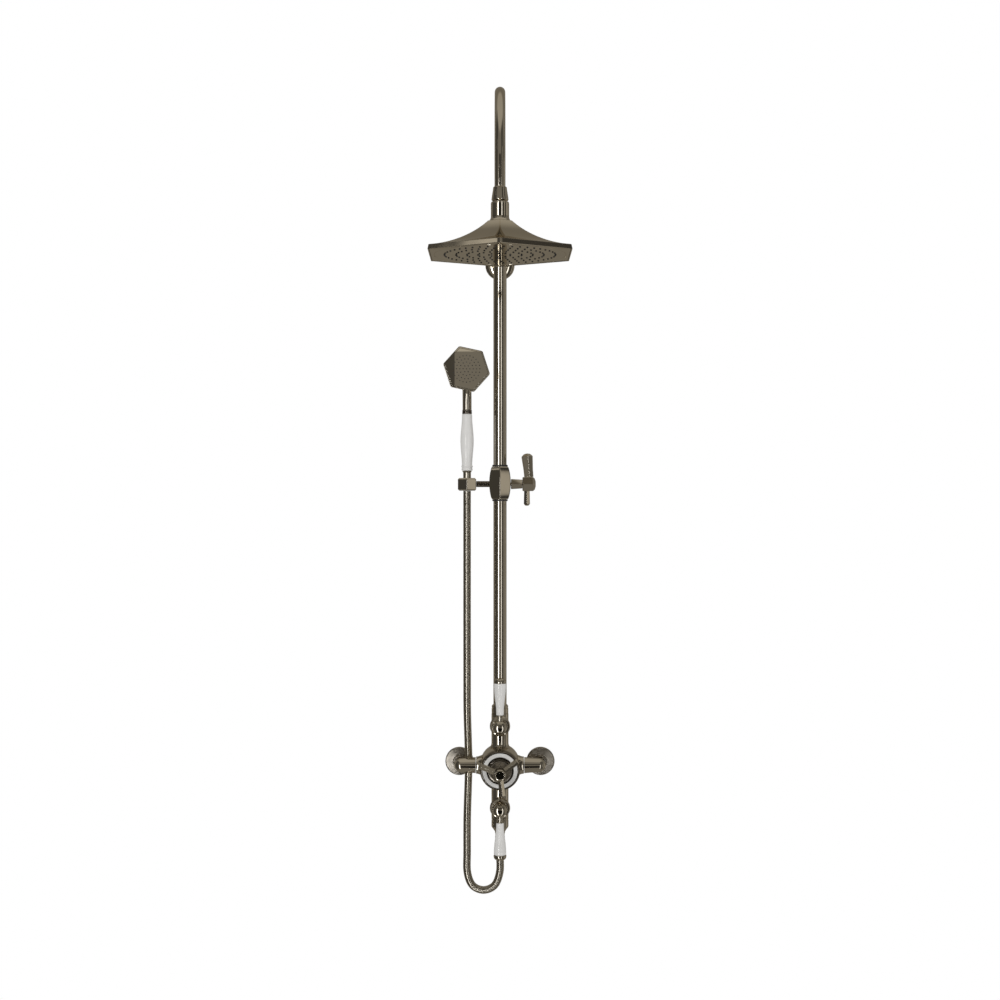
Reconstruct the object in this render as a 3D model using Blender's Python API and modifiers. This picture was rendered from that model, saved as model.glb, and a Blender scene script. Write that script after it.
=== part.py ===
"""Rainfall shower column with a six-sided head and hand shower.

A riser pipe stands on a thermostatic valve with two lever taps. A gooseneck carries
the rain head, and a slider on the riser holds the hand shower and its metal hose.

Metres. +X is right, -Y points out of the wall and +Z is up. The wall is the plane
y = 0. The origin is the centre of the upper wall bracket's back face.
"""
from math import cos, pi, radians, sin

import bmesh
import bpy
from mathutils import Matrix, Vector

# ---- Clearances ------------------------------------------------------------
GAP = 0.0003            # between touching pieces
SLIP = 0.00035          # radial, where one piece slides or turns in another

# ---- Sides of the round pieces -----------------------------------------------
BIG = 28
PIPE = 22
PART = 20
SMALL = 16
TINY = 12

# ---- Where things are ------------------------------------------------------
PIPE_OUT = 0.050        # riser axis in front of the wall
VALVE_Z = -0.917        # axis of the thermostatic valve
TAP_OFFSET = 0.074      # each lever tap above or below the valve's axis
INLET_SPACING = 0.150   # between the two wall inlets
SLIDER_Z = -0.403       # middle of the slider
HOLDER_X = -0.060       # axis of the hand shower and of the hose's left leg

# ---- Riser, bracket and gooseneck --------------------------------------------
RISER_R = 0.012
RISER_WALL = 0.0015
RISER_TOP = 0.030
BRACKET_R = 0.027
BRACKET_DEEP = 0.011
BASE_THICK = 0.004
POST_R = 0.008
RING_R = RISER_R + 0.0045
RING_TALL = 0.018
NECK_R = 0.009
NECK_WALL = 0.0015
NECK_REACH = 0.300      # front leg ahead of the rear leg
NECK_ARC_Z = 0.117      # centre of the gooseneck's half circle
UNION_R = RISER_R + 0.0045
UNION_TALL = 0.026

# ---- Rain head -----------------------------------------------------------------
END_NUT_TOP = 0.079
END_NUT_TALL = 0.0224
END_NUT_R_TOP = NECK_R + 0.00225
END_NUT_R_FOOT = NECK_R + 0.005
BALL_R = 0.009
BALL_Z = 0.042
BALL_NECK_R = 0.0045
SWIVEL_R = BALL_R + 0.006
SWIVEL_TOP = BALL_Z + 0.012
SWIVEL_FOOT = BALL_Z - 0.012
BELL_TOP = 0.022
BELL_TOP_HALF = 0.0195  # half the bell's width across flats at its top
HEAD_HALF = 0.116       # half the head's width across flats
RIM_TOP = -0.025
HEAD_FOOT = -0.033
BELL_WALL = 0.002
FACE_THICK = 0.003
MAT_THICK = 0.002

# ---- Valve -----------------------------------------------------------------------
BODY_R = 0.036
BODY_BACK = 0.020       # distances in front of the wall
BODY_FRONT = 0.100
TUBE_R = RISER_R + 0.0035
TUBE_HALF = 0.0943      # half the upright tube's length
NIPPLE_R = 0.009        # the outlet nipple screwed into the tube's foot
NIPPLE_BORE_R = 0.0055
RISER_SOCKET = 0.0123   # how deep the riser sits in the valve
NUT_TALL = 0.0157
ARM_R = 0.0155
ARM_START = 0.044
ARM_END_R = 0.0095
WATERWAY_R = 0.0055
INLET_R = 0.008
FLANGE_R = 0.026
FLANGE_DEEP = 0.011
BONNET_FRONT = BODY_FRONT + 0.016
BONNET_R = BODY_R - 0.0025
CARTRIDGE_R = 0.0165
BONNET_BORE = CARTRIDGE_R + 0.0058
CARTRIDGE_BACK = 0.062
SPINDLE_R = 0.005
HUB_SKIRT_R = BONNET_BORE - 0.0008
HUB_DOME_R = 0.019
HUB_BARREL_R = 0.0105
HUB_BARREL_BACK = 0.140
HUB_FRONT = 0.160
CAP_FRONT = 0.165
SPOKE_PLANE = 0.151
SPOKE_R = 0.0058        # to a spoke's corners
SPOKE_END = 0.039
SPOKE_TURN = 7          # degrees, the handle as it was left

# ---- Lever taps --------------------------------------------------------------------
TAP_BOSS_R = 0.0150
TAP_BOSS_FRONT = PIPE_OUT + RISER_R + 0.006
TAP_CARTRIDGE_R = 0.0085
TAP_CARTRIDGE_BACK = PIPE_OUT + RISER_R + 0.002
TAP_SPINDLE_R = 0.004
COLLAR_R = TAP_BOSS_R + 0.0034
COLLAR_FRONT = TAP_BOSS_FRONT + 0.009
LEVER_HUB_R = 0.0125
LEVER_HUB_FRONT = COLLAR_FRONT + 0.028
LEVER_PLANE = COLLAR_FRONT + 0.017
LEVER_STEM_R = 0.005
GRIP_START = 0.0227     # from the tap's axis
GRIP_END = 0.080
GRIP_R_START = 0.00675
GRIP_R_END = 0.011
LEVER_CAP_TALL = 0.0085
LEVER_CAP_R = 0.0115
LEVER_CAP_R_END = 0.0065

# ---- Slider and clamp ------------------------------------------------------------------
SLIDER_HALF_TALL = 0.033
SLIDER_HALF_MID = RISER_R + 0.0075
SLIDER_HALF_END = RISER_R + 0.0023
BUSH_R = RISER_R + 0.002
BUSH_TALL = 0.003
CROSS_Z = -0.405        # axis of the clamp and of the holder's rod
SLEEVE_START = SLIDER_HALF_MID + 0.0005
SLEEVE_END = 0.0384
SLEEVE_R_START = 0.0092
SLEEVE_R_END = 0.0080
CLAMP_SCREW_R = 0.003
LEVER_START = 0.041
LEVER_END = 0.065
LEVER_HALF = 0.01275    # half the clamp lever's width across flats
LONG_ARM_X = 0.0525
LONG_ARM_END = 0.056    # from the clamp's axis
LONG_ARM_HALF_START = 0.00775
LONG_ARM_HALF_END = 0.0095
LONG_ARM_LEAN = 5       # degrees
SHORT_ARM_X = 0.049
SHORT_ARM_END = 0.0395
SHORT_ARM_HALF = 0.0056

# ---- Holder and hand shower ----------------------------------------------------------------
ROD_R = 0.0055
ROD_START = RISER_R + 0.0025    # inside the slider, from the riser's axis
BLOCK_TOP = -0.394
BLOCK_FOOT = -0.417
CONE_R_TOP = 0.0104
INSERT_R = CONE_R_TOP + 0.0018
BLOCK_HALF = INSERT_R + 0.0043
CONE_R_FOOT = 0.0077
FERRULE_R = 0.0071
FERRULE_TOP = -0.381
HANDLE_TOP = -0.277
HANDLE_R_FOOT = 0.0100
HANDLE_R_MID = 0.0120
HANDLE_R_TOP = 0.00925
HANDLE_MID_Z = -0.327
SHOWER_TUBE_R = 0.0045
SHOWER_COLLAR_R = 0.0089
SHOWER_COLLAR_TOP = -0.270
SHOWER_NECK_R = 0.0082
SHOWER_HEAD_Z = -0.199
SHOWER_HEAD_HALF = 0.03725
SHOWER_FACE_OUT = 0.100
SHOWER_RIM_OUT = 0.090
SHOWER_BACK_OUT = 0.066
SHOWER_BACK_HALF = 0.017
SHOWER_CLOCK = 12       # degrees the six-sided head is turned in its own plane
SHOWER_PLATE_THICK = 0.003

# ---- Hose --------------------------------------------------------------------------------------
HOSE_R = 0.007
HOSE_TOP = -0.4175
HOSE_START = VALVE_Z - TUBE_HALF - 0.039
HOSE_CUT_SLIDER = -0.500    # below it the hose hangs from the slider
HOSE_CUT_HOLDER = -0.440    # below it the hose hangs from the holder
HOSE_STEP = 0.0135
# The hose's route: x, distance in front of the wall, z
HOSE_ROUTE = (
    (0.000, PIPE_OUT, HOSE_START),
    (0.000, PIPE_OUT, -1.082),
    (-0.0005, PIPE_OUT, -1.112),
    (-0.010, PIPE_OUT, -1.136),
    (-0.030, PIPE_OUT, -1.1445),
    (-0.050, PIPE_OUT, -1.136),
    (-0.0595, 0.049, -1.112),
    (-0.060, 0.046, -1.075),
    (-0.060, 0.037, -1.015),
    (-0.0585, 0.029, -0.960),
    (-0.0575, 0.0265, -0.917),
    (-0.0585, 0.029, -0.874),
    (-0.060, 0.037, -0.815),
    (-0.060, 0.046, -0.750),
    (-0.060, PIPE_OUT, -0.680),
    (-0.060, PIPE_OUT, -0.590),
    (-0.060, PIPE_OUT, HOSE_CUT_SLIDER),
    (-0.060, PIPE_OUT, HOSE_CUT_HOLDER),
    (-0.060, PIPE_OUT, HOSE_TOP),
)

# ---- Derived -------------------------------------------------------------------------------------
HEX = 1 / cos(pi / 6)   # a hexagon's corner radius over half its width across flats
NUT_BOTTOM = VALVE_Z + TUBE_HALF + GAP
OUTLET_Z = VALVE_Z - TUBE_HALF
HEAD_OUT = PIPE_OUT + NECK_REACH
MERGE = 0.00001
UP = Matrix()
FRONT = Matrix.Rotation(pi / 2, 4, "X")
RIGHT = Matrix.Rotation(pi / 2, 4, "Y")
LEFT = Matrix.Rotation(-pi / 2, 4, "Y")
CORNER_FORWARD = Matrix.Rotation(pi / 6, 4, "Z")

METAL = (0.36, 0.33, 0.28, 1.0, 0.12)
DARK_METAL = (0.16, 0.15, 0.13, 1.0, 0.25)
BRASS = (0.55, 0.42, 0.20, 1.0, 0.35)
CERAMIC = (0.66, 0.65, 0.64, 0.0, 0.12)
RUBBER = (0.03, 0.03, 0.03, 0.0, 0.7)
PLASTIC = (0.10, 0.10, 0.10, 0.0, 0.4)
HOSE_METAL = (0.40, 0.37, 0.32, 1.0, 0.2)


# ---- Scene and materials ----------------------------------------------------------------------------

def clear_scene():
    for obj in list(bpy.data.objects):
        bpy.data.objects.remove(obj, do_unlink=True)


def new_collection(name):
    collection = bpy.data.collections.new(name)
    bpy.context.scene.collection.children.link(collection)
    return collection


def finish_of(name, values):
    """A Principled material from red, green, blue, metallic and roughness."""
    red, green, blue, metallic, roughness = values
    material = bpy.data.materials.new(name)
    material.use_nodes = True
    shader = material.node_tree.nodes["Principled BSDF"]
    shader.inputs["Base Color"].default_value = (red, green, blue, 1.0)
    shader.inputs["Metallic"].default_value = metallic
    shader.inputs["Roughness"].default_value = roughness
    return material


def at(x=0.0, out=0.0, z=0.0):
    """A move to x, a distance in front of the wall, and z."""
    return Matrix.Translation((x, -out, z))


def on_axis(body, x=0.0, out=0.0, z=0.0):
    """An empty on a joint's axis, which the moving pieces hang from."""
    empty = bpy.data.objects.new(body + "_axis", None)
    empty.matrix_world = at(x, out, z)
    empty.empty_display_size = 0.01
    PARTS.objects.link(empty)
    return empty


def add(name, mesh, finish, place=UP, parent=None):
    """Link a mesh as a named piece with its own material, placed in the world."""
    obj = bpy.data.objects.new(name, mesh)
    mesh.materials.clear()
    mesh.materials.append(finish_of(name, finish))
    PARTS.objects.link(obj)
    if parent is not None:
        obj.parent = parent
        obj.matrix_parent_inverse = parent.matrix_world.inverted()
    obj.matrix_world = place
    return obj


def as_cutter(mesh, name, place=UP):
    obj = bpy.data.objects.new(name, mesh)
    obj.matrix_world = place
    obj.hide_render = True
    obj.display_type = "WIRE"
    CUTTERS.objects.link(obj)
    return obj


def boolean(obj, tool, operation):
    modifier = obj.modifiers.new(tool.name, "BOOLEAN")
    modifier.operation = operation
    modifier.object = tool
    modifier.solver = "EXACT"
    return obj


def cut(obj, mesh, name, place=UP):
    return boolean(obj, as_cutter(mesh, obj.name + "_" + name, place), "DIFFERENCE")


def join(obj, mesh, name, place=UP):
    return boolean(obj, as_cutter(mesh, obj.name + "_" + name, place), "UNION")


# ---- Shapes -----------------------------------------------------------------------------------------------

def turned_mesh(profile, sides=SMALL, closed=False):
    """A profile of (radius, height) turned round Z, from its top down its outer side.

    A closed profile comes back up its inner side and makes a ring. Six sides make a
    hexagonal piece whose corners stand at the profile's radius.
    """
    outline = bpy.data.meshes.new("outline")
    count = len(profile)
    edges = [(i, i + 1) for i in range(count - 1)]
    if closed:
        edges.append((count - 1, 0))
    outline.from_pydata([(r, 0, z) for r, z in profile], edges, [])
    holder = bpy.data.objects.new("outline", outline)
    PARTS.objects.link(holder)
    screw = holder.modifiers.new("turn", "SCREW")
    screw.axis = "Z"
    screw.angle = 2 * pi
    screw.steps = sides
    screw.render_steps = sides
    screw.use_merge_vertices = True
    screw.merge_threshold = MERGE
    mesh = baked(holder)
    flatten_poles(mesh)
    if sides > 8:
        mesh.shade_smooth()
        mesh.set_sharp_from_angle(angle=radians(35))
    else:
        mesh.shade_flat()
    return mesh


def flatten_poles(mesh):
    """Make each flat end one face, in place of its fan of triangles."""
    shape = bmesh.new()
    shape.from_mesh(mesh)
    poles = [v for v in shape.verts if Vector((v.co.x, v.co.y)).length < MERGE]
    flat = [v for v in poles
            if all(abs(face.normal.z) > 0.99999 for face in v.link_faces)]
    bmesh.ops.dissolve_verts(shape, verts=flat)
    shape.to_mesh(mesh)
    shape.free()


def baked(holder):
    """The evaluated mesh of an object that is then removed."""
    bpy.context.view_layer.update()
    graph = bpy.context.evaluated_depsgraph_get()
    mesh = bpy.data.meshes.new_from_object(holder.evaluated_get(graph))
    bpy.data.objects.remove(holder, do_unlink=True)
    return mesh


def rod_mesh(radius, start, end, sides=SMALL):
    """A plain cylinder along Z between two heights."""
    return turned_mesh([(0, end), (radius, end), (radius, start), (0, start)], sides)


def ring_mesh(outer, inner, start, end, sides=SMALL):
    """A plain ring round Z between two heights."""
    return turned_mesh([(outer, end), (outer, start), (inner, start), (inner, end)], sides, True)


def hex_profile(points):
    """Half-widths across flats turned into corner radii."""
    return [(half * HEX, z) for half, z in points]


def swept_mesh(points, radius, sides=TINY, capped=True):
    """A round bar along a list of points."""
    curve = bpy.data.curves.new("sweep", "CURVE")
    curve.dimensions = "3D"
    curve.bevel_depth = radius
    curve.bevel_resolution = sides // 2 - 2
    curve.use_fill_caps = capped
    curve.resolution_u = 1
    curve.render_resolution_u = 0
    spline = curve.splines.new("POLY")
    spline.points.add(len(points) - 1)
    for place, point in zip(spline.points, points):
        place.co = (*point, 1.0)
    holder = bpy.data.objects.new("sweep", curve)
    PARTS.objects.link(holder)
    mesh = baked(holder)
    shape = bmesh.new()
    shape.from_mesh(mesh)
    bmesh.ops.remove_doubles(shape, verts=shape.verts, dist=MERGE)
    bmesh.ops.recalc_face_normals(shape, faces=shape.faces)
    shape.to_mesh(mesh)
    shape.free()
    mesh.shade_smooth()
    return mesh


def bezier(a, b, c, d, count):
    """Points of a cubic Bezier curve, both ends included."""
    points = []
    for i in range(count + 1):
        t = i / count
        s = 1 - t
        weights = (s ** 3, 3 * s * s * t, 3 * s * t * t, t ** 3)
        points.append(tuple(sum(w * p[k] for w, p in zip(weights, (a, b, c, d)))
                            for k in range(len(a))))
    return points


def eased(start, end, count):
    """(radius, height) points on a half cosine wave from start to end, without the end."""
    (r0, z0), (r1, z1) = start, end
    points = []
    for i in range(count):
        t = i / count
        blend = (1 - cos(pi * t)) / 2
        points.append((r0 + (r1 - r0) * blend, z0 + (z1 - z0) * t))
    return points


def smooth_route(route, step):
    """Evenly spaced points on the smooth curve through a route's points."""
    knots = [Vector((x, -out, z)) for x, out, z in route]
    knots = [2 * knots[0] - knots[1]] + knots + [2 * knots[-1] - knots[-2]]
    fine = []
    for before, a, b, after in zip(knots, knots[1:], knots[2:], knots[3:]):
        for i in range(24):
            t = i / 24
            fine.append(0.5 * (2 * a + (b - before) * t
                               + (2 * before - 5 * a + 4 * b - after) * t * t
                               + (3 * a - before - 3 * b + after) * t ** 3))
    fine.append(knots[-2])
    total = sum((b - a).length for a, b in zip(fine, fine[1:]))
    count = max(2, round(total / step))
    points = [fine[0]]
    travelled = 0.0
    for a, b in zip(fine, fine[1:]):
        length = (b - a).length
        while len(points) < count and travelled + length >= total * len(points) / count:
            share = (total * len(points) / count - travelled) / length
            points.append(a.lerp(b, share))
        travelled += length
    points.append(fine[-1])
    return points


# ---- Upper wall bracket ---------------------------------------------------------------------------------------

def wall_bracket():
    base_r = BRACKET_R - 0.006
    stud_r = 0.005
    stud_end = 0.014
    screw_x = 0.013
    post_start = BASE_THICK + GAP
    base = add("wall_bracket_base", turned_mesh(
        [(0, stud_end), (stud_r, stud_end), (stud_r, BASE_THICK), (base_r, BASE_THICK),
         (base_r, 0), (0, 0)]), DARK_METAL, FRONT)
    for side, x in (("left", -screw_x), ("right", screw_x)):
        cut(base, rod_mesh(0.0023, -0.002, 0.006, TINY), side + "_hole", at(x) @ FRONT)
    hollow = base_r + GAP
    step = BASE_THICK + GAP
    bore = POST_R + GAP
    add("wall_bracket_flange", turned_mesh(
        [(bore, BRACKET_DEEP), (0.019, BRACKET_DEEP - 0.001), (BRACKET_R - 0.001, 0.0065),
         (BRACKET_R, 0.004), (BRACKET_R, 0), (hollow, 0), (hollow, step), (bore, step)],
        32, True), METAL, FRONT)
    post = add("wall_bracket_post", rod_mesh(POST_R, post_start, PIPE_OUT, SMALL), METAL, FRONT)
    join(post, rod_mesh(RING_R, -RING_TALL / 2, RING_TALL / 2, PIPE), "ring", at(0, PIPE_OUT))
    cut(post, rod_mesh(RISER_R + GAP, -RING_TALL, RING_TALL, PIPE), "riser_bore", at(0, PIPE_OUT))
    cut(post, rod_mesh(stud_r + GAP, 0, stud_end + GAP, TINY), "stud_bore", FRONT)


# ---- Riser and gooseneck ----------------------------------------------------------------------------------------

def riser():
    foot = VALVE_Z + TUBE_HALF - RISER_SOCKET
    add("riser_pipe", ring_mesh(RISER_R, RISER_R - RISER_WALL, foot, RISER_TOP, PIPE),
        METAL, at(0, PIPE_OUT))
    union_foot = RISER_TOP - UNION_TALL / 3
    union_top = union_foot + UNION_TALL
    inner = NECK_R + GAP
    shoulder = RISER_TOP + GAP
    add("gooseneck_union_nut", turned_mesh(
        [(inner + 0.002, union_top), (UNION_R, union_top - 0.008), (UNION_R, union_foot),
         (RISER_R + GAP, union_foot), (RISER_R + GAP, shoulder), (inner, shoulder),
         (inner, union_top)], PART, True), METAL, at(0, PIPE_OUT))


def gooseneck():
    radius = NECK_REACH / 2
    start = RISER_TOP + 2 * GAP
    end = END_NUT_TOP - 0.007
    segments = 20
    points = [(0, -PIPE_OUT, start)]
    for i in range(segments + 1):
        angle = pi * i / segments
        out = PIPE_OUT + radius * (1 - cos(angle))
        points.append((0, -out, NECK_ARC_Z + radius * sin(angle)))
    points.append((0, -HEAD_OUT, end))
    pipe = add("gooseneck_pipe", swept_mesh(points, NECK_R, TINY, capped=False), METAL)
    wall = pipe.modifiers.new("wall", "SOLIDIFY")
    wall.thickness = NECK_WALL
    wall.offset = -1
    wall.use_rim = True
    bore = NECK_R + GAP
    foot = END_NUT_TOP - END_NUT_TALL
    place = at(0, HEAD_OUT)
    add("gooseneck_end_nut", turned_mesh(
        [(END_NUT_R_TOP - 0.0008, END_NUT_TOP), (END_NUT_R_TOP, END_NUT_TOP - 0.001),
         (END_NUT_R_FOOT, foot + 0.001), (END_NUT_R_FOOT - 0.001, foot),
         (bore, foot), (bore, END_NUT_TOP)], PART, True), METAL, place)
    shank_top = end - GAP
    ball = [(BALL_R * cos(a), BALL_Z + BALL_R * sin(a))
            for a in (radians(60 - 15 * i) for i in range(11))]
    add("swivel_ball", turned_mesh(
        [(0, shank_top), (NECK_R - GAP, shank_top), (NECK_R - GAP, foot + 0.0005),
         (BALL_NECK_R, foot - 0.001)] + ball + [(0, BALL_Z - BALL_R)], SMALL), METAL, place)


# ---- Rain head -------------------------------------------------------------------------------------------------------

def bell_curve():
    """Half-width and height down the bell's concave flare."""
    return bezier((BELL_TOP_HALF, BELL_TOP), (BELL_TOP_HALF + 0.0145, 0.007),
                  (HEAD_HALF - 0.048, RIM_TOP + 0.007), (HEAD_HALF, RIM_TOP), 10)


def rain_head():
    axis = on_axis("rain_head", 0, HEAD_OUT, BALL_Z)
    place = at(0, HEAD_OUT)
    socket = BALL_R + 0.0033
    lip = BALL_R - 0.0012
    lip_foot = SWIVEL_TOP - 0.004
    add("head_swivel_nut", turned_mesh(
        [(lip, SWIVEL_TOP), (SWIVEL_R - 0.0008, SWIVEL_TOP), (SWIVEL_R, SWIVEL_TOP - 0.0008),
         (SWIVEL_R, SWIVEL_FOOT), (socket, SWIVEL_FOOT), (socket, lip_foot), (lip, lip_foot)],
        32, True), METAL, place, axis)
    seat_bore = BALL_R * 2 / 3
    seat_top = BALL_Z - (BALL_R ** 2 - seat_bore ** 2) ** 0.5 - 2 * GAP
    add("ball_seat_ring", ring_mesh(socket - GAP, seat_bore, SWIVEL_FOOT + GAP, seat_top, SMALL),
        PLASTIC, place, axis)
    collar_top = SWIVEL_FOOT - GAP
    collar_foot = BELL_TOP + GAP
    bore = 0.007
    add("head_collar", turned_mesh(
        [(SWIVEL_R, collar_top), (SWIVEL_R + 0.001, collar_top - 0.003),
         (BELL_TOP_HALF - 0.0005, collar_foot + 0.001), (BELL_TOP_HALF - 0.0005, collar_foot),
         (bore, collar_foot), (bore, collar_top)], PIPE, True), METAL, place, axis)
    flare = bell_curve()
    inside = [(half, z - BELL_WALL) for half, z in reversed(flare[:-1])]
    inner_half = HEAD_HALF - BELL_WALL
    profile = [(bore, BELL_TOP)] + flare + [(HEAD_HALF, HEAD_FOOT), (inner_half, HEAD_FOOT),
                                            (inner_half, RIM_TOP - BELL_WALL)]
    profile += inside + [(bore, BELL_TOP - BELL_WALL)]
    turned_to_front = place @ CORNER_FORWARD
    add("head_bell", turned_mesh(hex_profile(profile), 6, True), METAL, turned_to_front, axis)
    plate_half = inner_half - GAP
    plate_top = HEAD_FOOT + FACE_THICK
    add("head_face_plate", turned_mesh(hex_profile(
        [(0, plate_top), (plate_half, plate_top), (plate_half, HEAD_FOOT + 0.0003),
         (0, HEAD_FOOT + 0.0003)]), 6), METAL, turned_to_front, axis)
    mat_foot = plate_top + GAP
    add("head_nozzle_mat", turned_mesh(
        [(0, mat_foot + MAT_THICK), (0.095, mat_foot + MAT_THICK), (0.095, mat_foot),
         (0, mat_foot)], BIG), RUBBER, place, axis)


# ---- Thermostatic valve -------------------------------------------------------------------------------------------------

def valve_body():
    centre = at(0, 0, VALVE_Z)
    upright = at(0, PIPE_OUT, VALVE_Z)
    body = add("valve_body", rod_mesh(BODY_R, BODY_BACK, BODY_FRONT, BIG), METAL, centre @ FRONT)
    join(body, rod_mesh(TUBE_R, -TUBE_HALF, TUBE_HALF, PIPE), "tube", upright)
    join(body, rod_mesh(ARM_R, -ARM_START, ARM_START, PART), "arms", upright @ RIGHT)
    taps = (("upper", at(0, 0, VALVE_Z + TAP_OFFSET)), ("lower", at(0, 0, VALVE_Z - TAP_OFFSET)))
    for tap, tap_centre in taps:
        join(body, rod_mesh(TAP_BOSS_R, PIPE_OUT, TAP_BOSS_FRONT, PART), tap + "_boss",
             tap_centre @ FRONT)
    cut(body, rod_mesh(CARTRIDGE_R + GAP, CARTRIDGE_BACK - GAP, BODY_FRONT + 0.01, PART),
        "cartridge_bore", centre @ FRONT)
    cut(body, rod_mesh(RISER_R + GAP, TUBE_HALF - RISER_SOCKET - GAP, TUBE_HALF + 0.01, PIPE),
        "riser_socket", upright)
    cut(body, rod_mesh(NIPPLE_R + GAP, -TUBE_HALF - 0.01, -TUBE_HALF + 0.012, SMALL),
        "outlet_bore", upright)
    for side, turn in (("left", LEFT), ("right", RIGHT)):
        cut(body, rod_mesh(WATERWAY_R, 0.028, ARM_START + 0.01, TINY), side + "_waterway",
            upright @ turn)
    for tap, tap_centre in taps:
        cut(body, rod_mesh(TAP_CARTRIDGE_R + GAP, TAP_CARTRIDGE_BACK - GAP, TAP_BOSS_FRONT + 0.01, SMALL),
            tap + "_bore", tap_centre @ FRONT)
    return body


def valve_trim():
    centre = at(0, 0, VALVE_Z) @ FRONT
    back = BODY_FRONT + GAP
    add("valve_bonnet", turned_mesh(
        [(BONNET_BORE, BONNET_FRONT), (BONNET_R - 0.001, BONNET_FRONT),
         (BONNET_R, BONNET_FRONT - 0.001), (BODY_R, back + 0.004), (BODY_R, back),
         (CARTRIDGE_R + 0.002, back), (CARTRIDGE_R + 0.002, back + 0.003),
         (BONNET_BORE, back + 0.003)], BIG, True), METAL, centre)
    add("thermostatic_cartridge", turned_mesh(
        [(0, HUB_BARREL_BACK - 0.012), (SPINDLE_R, HUB_BARREL_BACK - 0.012),
         (SPINDLE_R, BONNET_FRONT - 0.006), (CARTRIDGE_R, BONNET_FRONT - 0.006),
         (CARTRIDGE_R, CARTRIDGE_BACK), (0, CARTRIDGE_BACK)], SMALL), BRASS, centre)
    add("riser_nut", turned_mesh(
        [(RISER_R + GAP, NUT_BOTTOM + NUT_TALL), (TUBE_R - 0.0015, NUT_BOTTOM + NUT_TALL),
         (TUBE_R - 0.0003, NUT_BOTTOM + NUT_TALL - 0.0015), (TUBE_R - 0.0003, NUT_BOTTOM),
         (RISER_R + GAP, NUT_BOTTOM)], PIPE, True), METAL, at(0, PIPE_OUT))


def inlet(side, sign):
    turn = RIGHT if sign > 0 else LEFT
    x = sign * INLET_SPACING / 2
    start = ARM_START + GAP
    end = INLET_SPACING / 2 - 0.001
    dome = [(ARM_END_R * cos(a), end + ARM_END_R * sin(a))
            for a in (radians(75 - 15 * i) for i in range(6))]
    elbow = add(side + "_inlet_elbow", turned_mesh(
        [(0, end + ARM_END_R)] + dome + [(ARM_R, start), (0, start)], PART), METAL,
        at(0, PIPE_OUT, VALVE_Z) @ turn)
    join(elbow, rod_mesh(INLET_R, 0.0008, PIPE_OUT, SMALL), "pipe", at(x, 0, VALVE_Z) @ FRONT)
    cut(elbow, rod_mesh(WATERWAY_R, -0.01, PIPE_OUT, TINY), "wall_bore", at(x, 0, VALVE_Z) @ FRONT)
    cut(elbow, rod_mesh(WATERWAY_R, ARM_START - 0.01, INLET_SPACING / 2, TINY), "arm_bore",
        at(0, PIPE_OUT, VALVE_Z) @ turn)
    place = at(x, 0, VALVE_Z) @ FRONT
    bore = INLET_R + GAP
    add(side + "_wall_flange", turned_mesh(
        [(bore, FLANGE_DEEP), (0.014, FLANGE_DEEP - 0.0006), (FLANGE_R - 0.003, 0.0055),
         (FLANGE_R, 0.0025), (FLANGE_R, 0), (bore, 0)], PIPE, True), METAL, place)


def hose_outlet():
    place = at(0, PIPE_OUT)
    top = OUTLET_Z - GAP
    nipple_top = OUTLET_Z + 0.011
    nipple_foot = OUTLET_Z - 0.012
    nut_foot = HOSE_START + 0.0137
    shoulder = nipple_foot - GAP
    bore = NIPPLE_BORE_R + 0.0005
    add("outlet_nipple", ring_mesh(NIPPLE_R, NIPPLE_BORE_R, nipple_foot, nipple_top, SMALL), BRASS, place)
    add("hose_nut", turned_mesh(
        [(NIPPLE_R + GAP, top), (TUBE_R - 0.0008, top), (TUBE_R, top - 0.0008),
         (TUBE_R, top - 0.0165), (0.010, nut_foot), (bore, nut_foot), (bore, shoulder),
         (NIPPLE_R + GAP, shoulder)], PART, True), METAL, place)
    add("hose_crimp", turned_mesh(
        [(NIPPLE_BORE_R, nut_foot - GAP), (HOSE_R + 0.0022, nut_foot - GAP),
         (HOSE_R + 0.0017, HOSE_START + GAP), (NIPPLE_BORE_R, HOSE_START + GAP)], SMALL, True), METAL, place)


# ---- Handles ---------------------------------------------------------------------------------------------------------------

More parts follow.
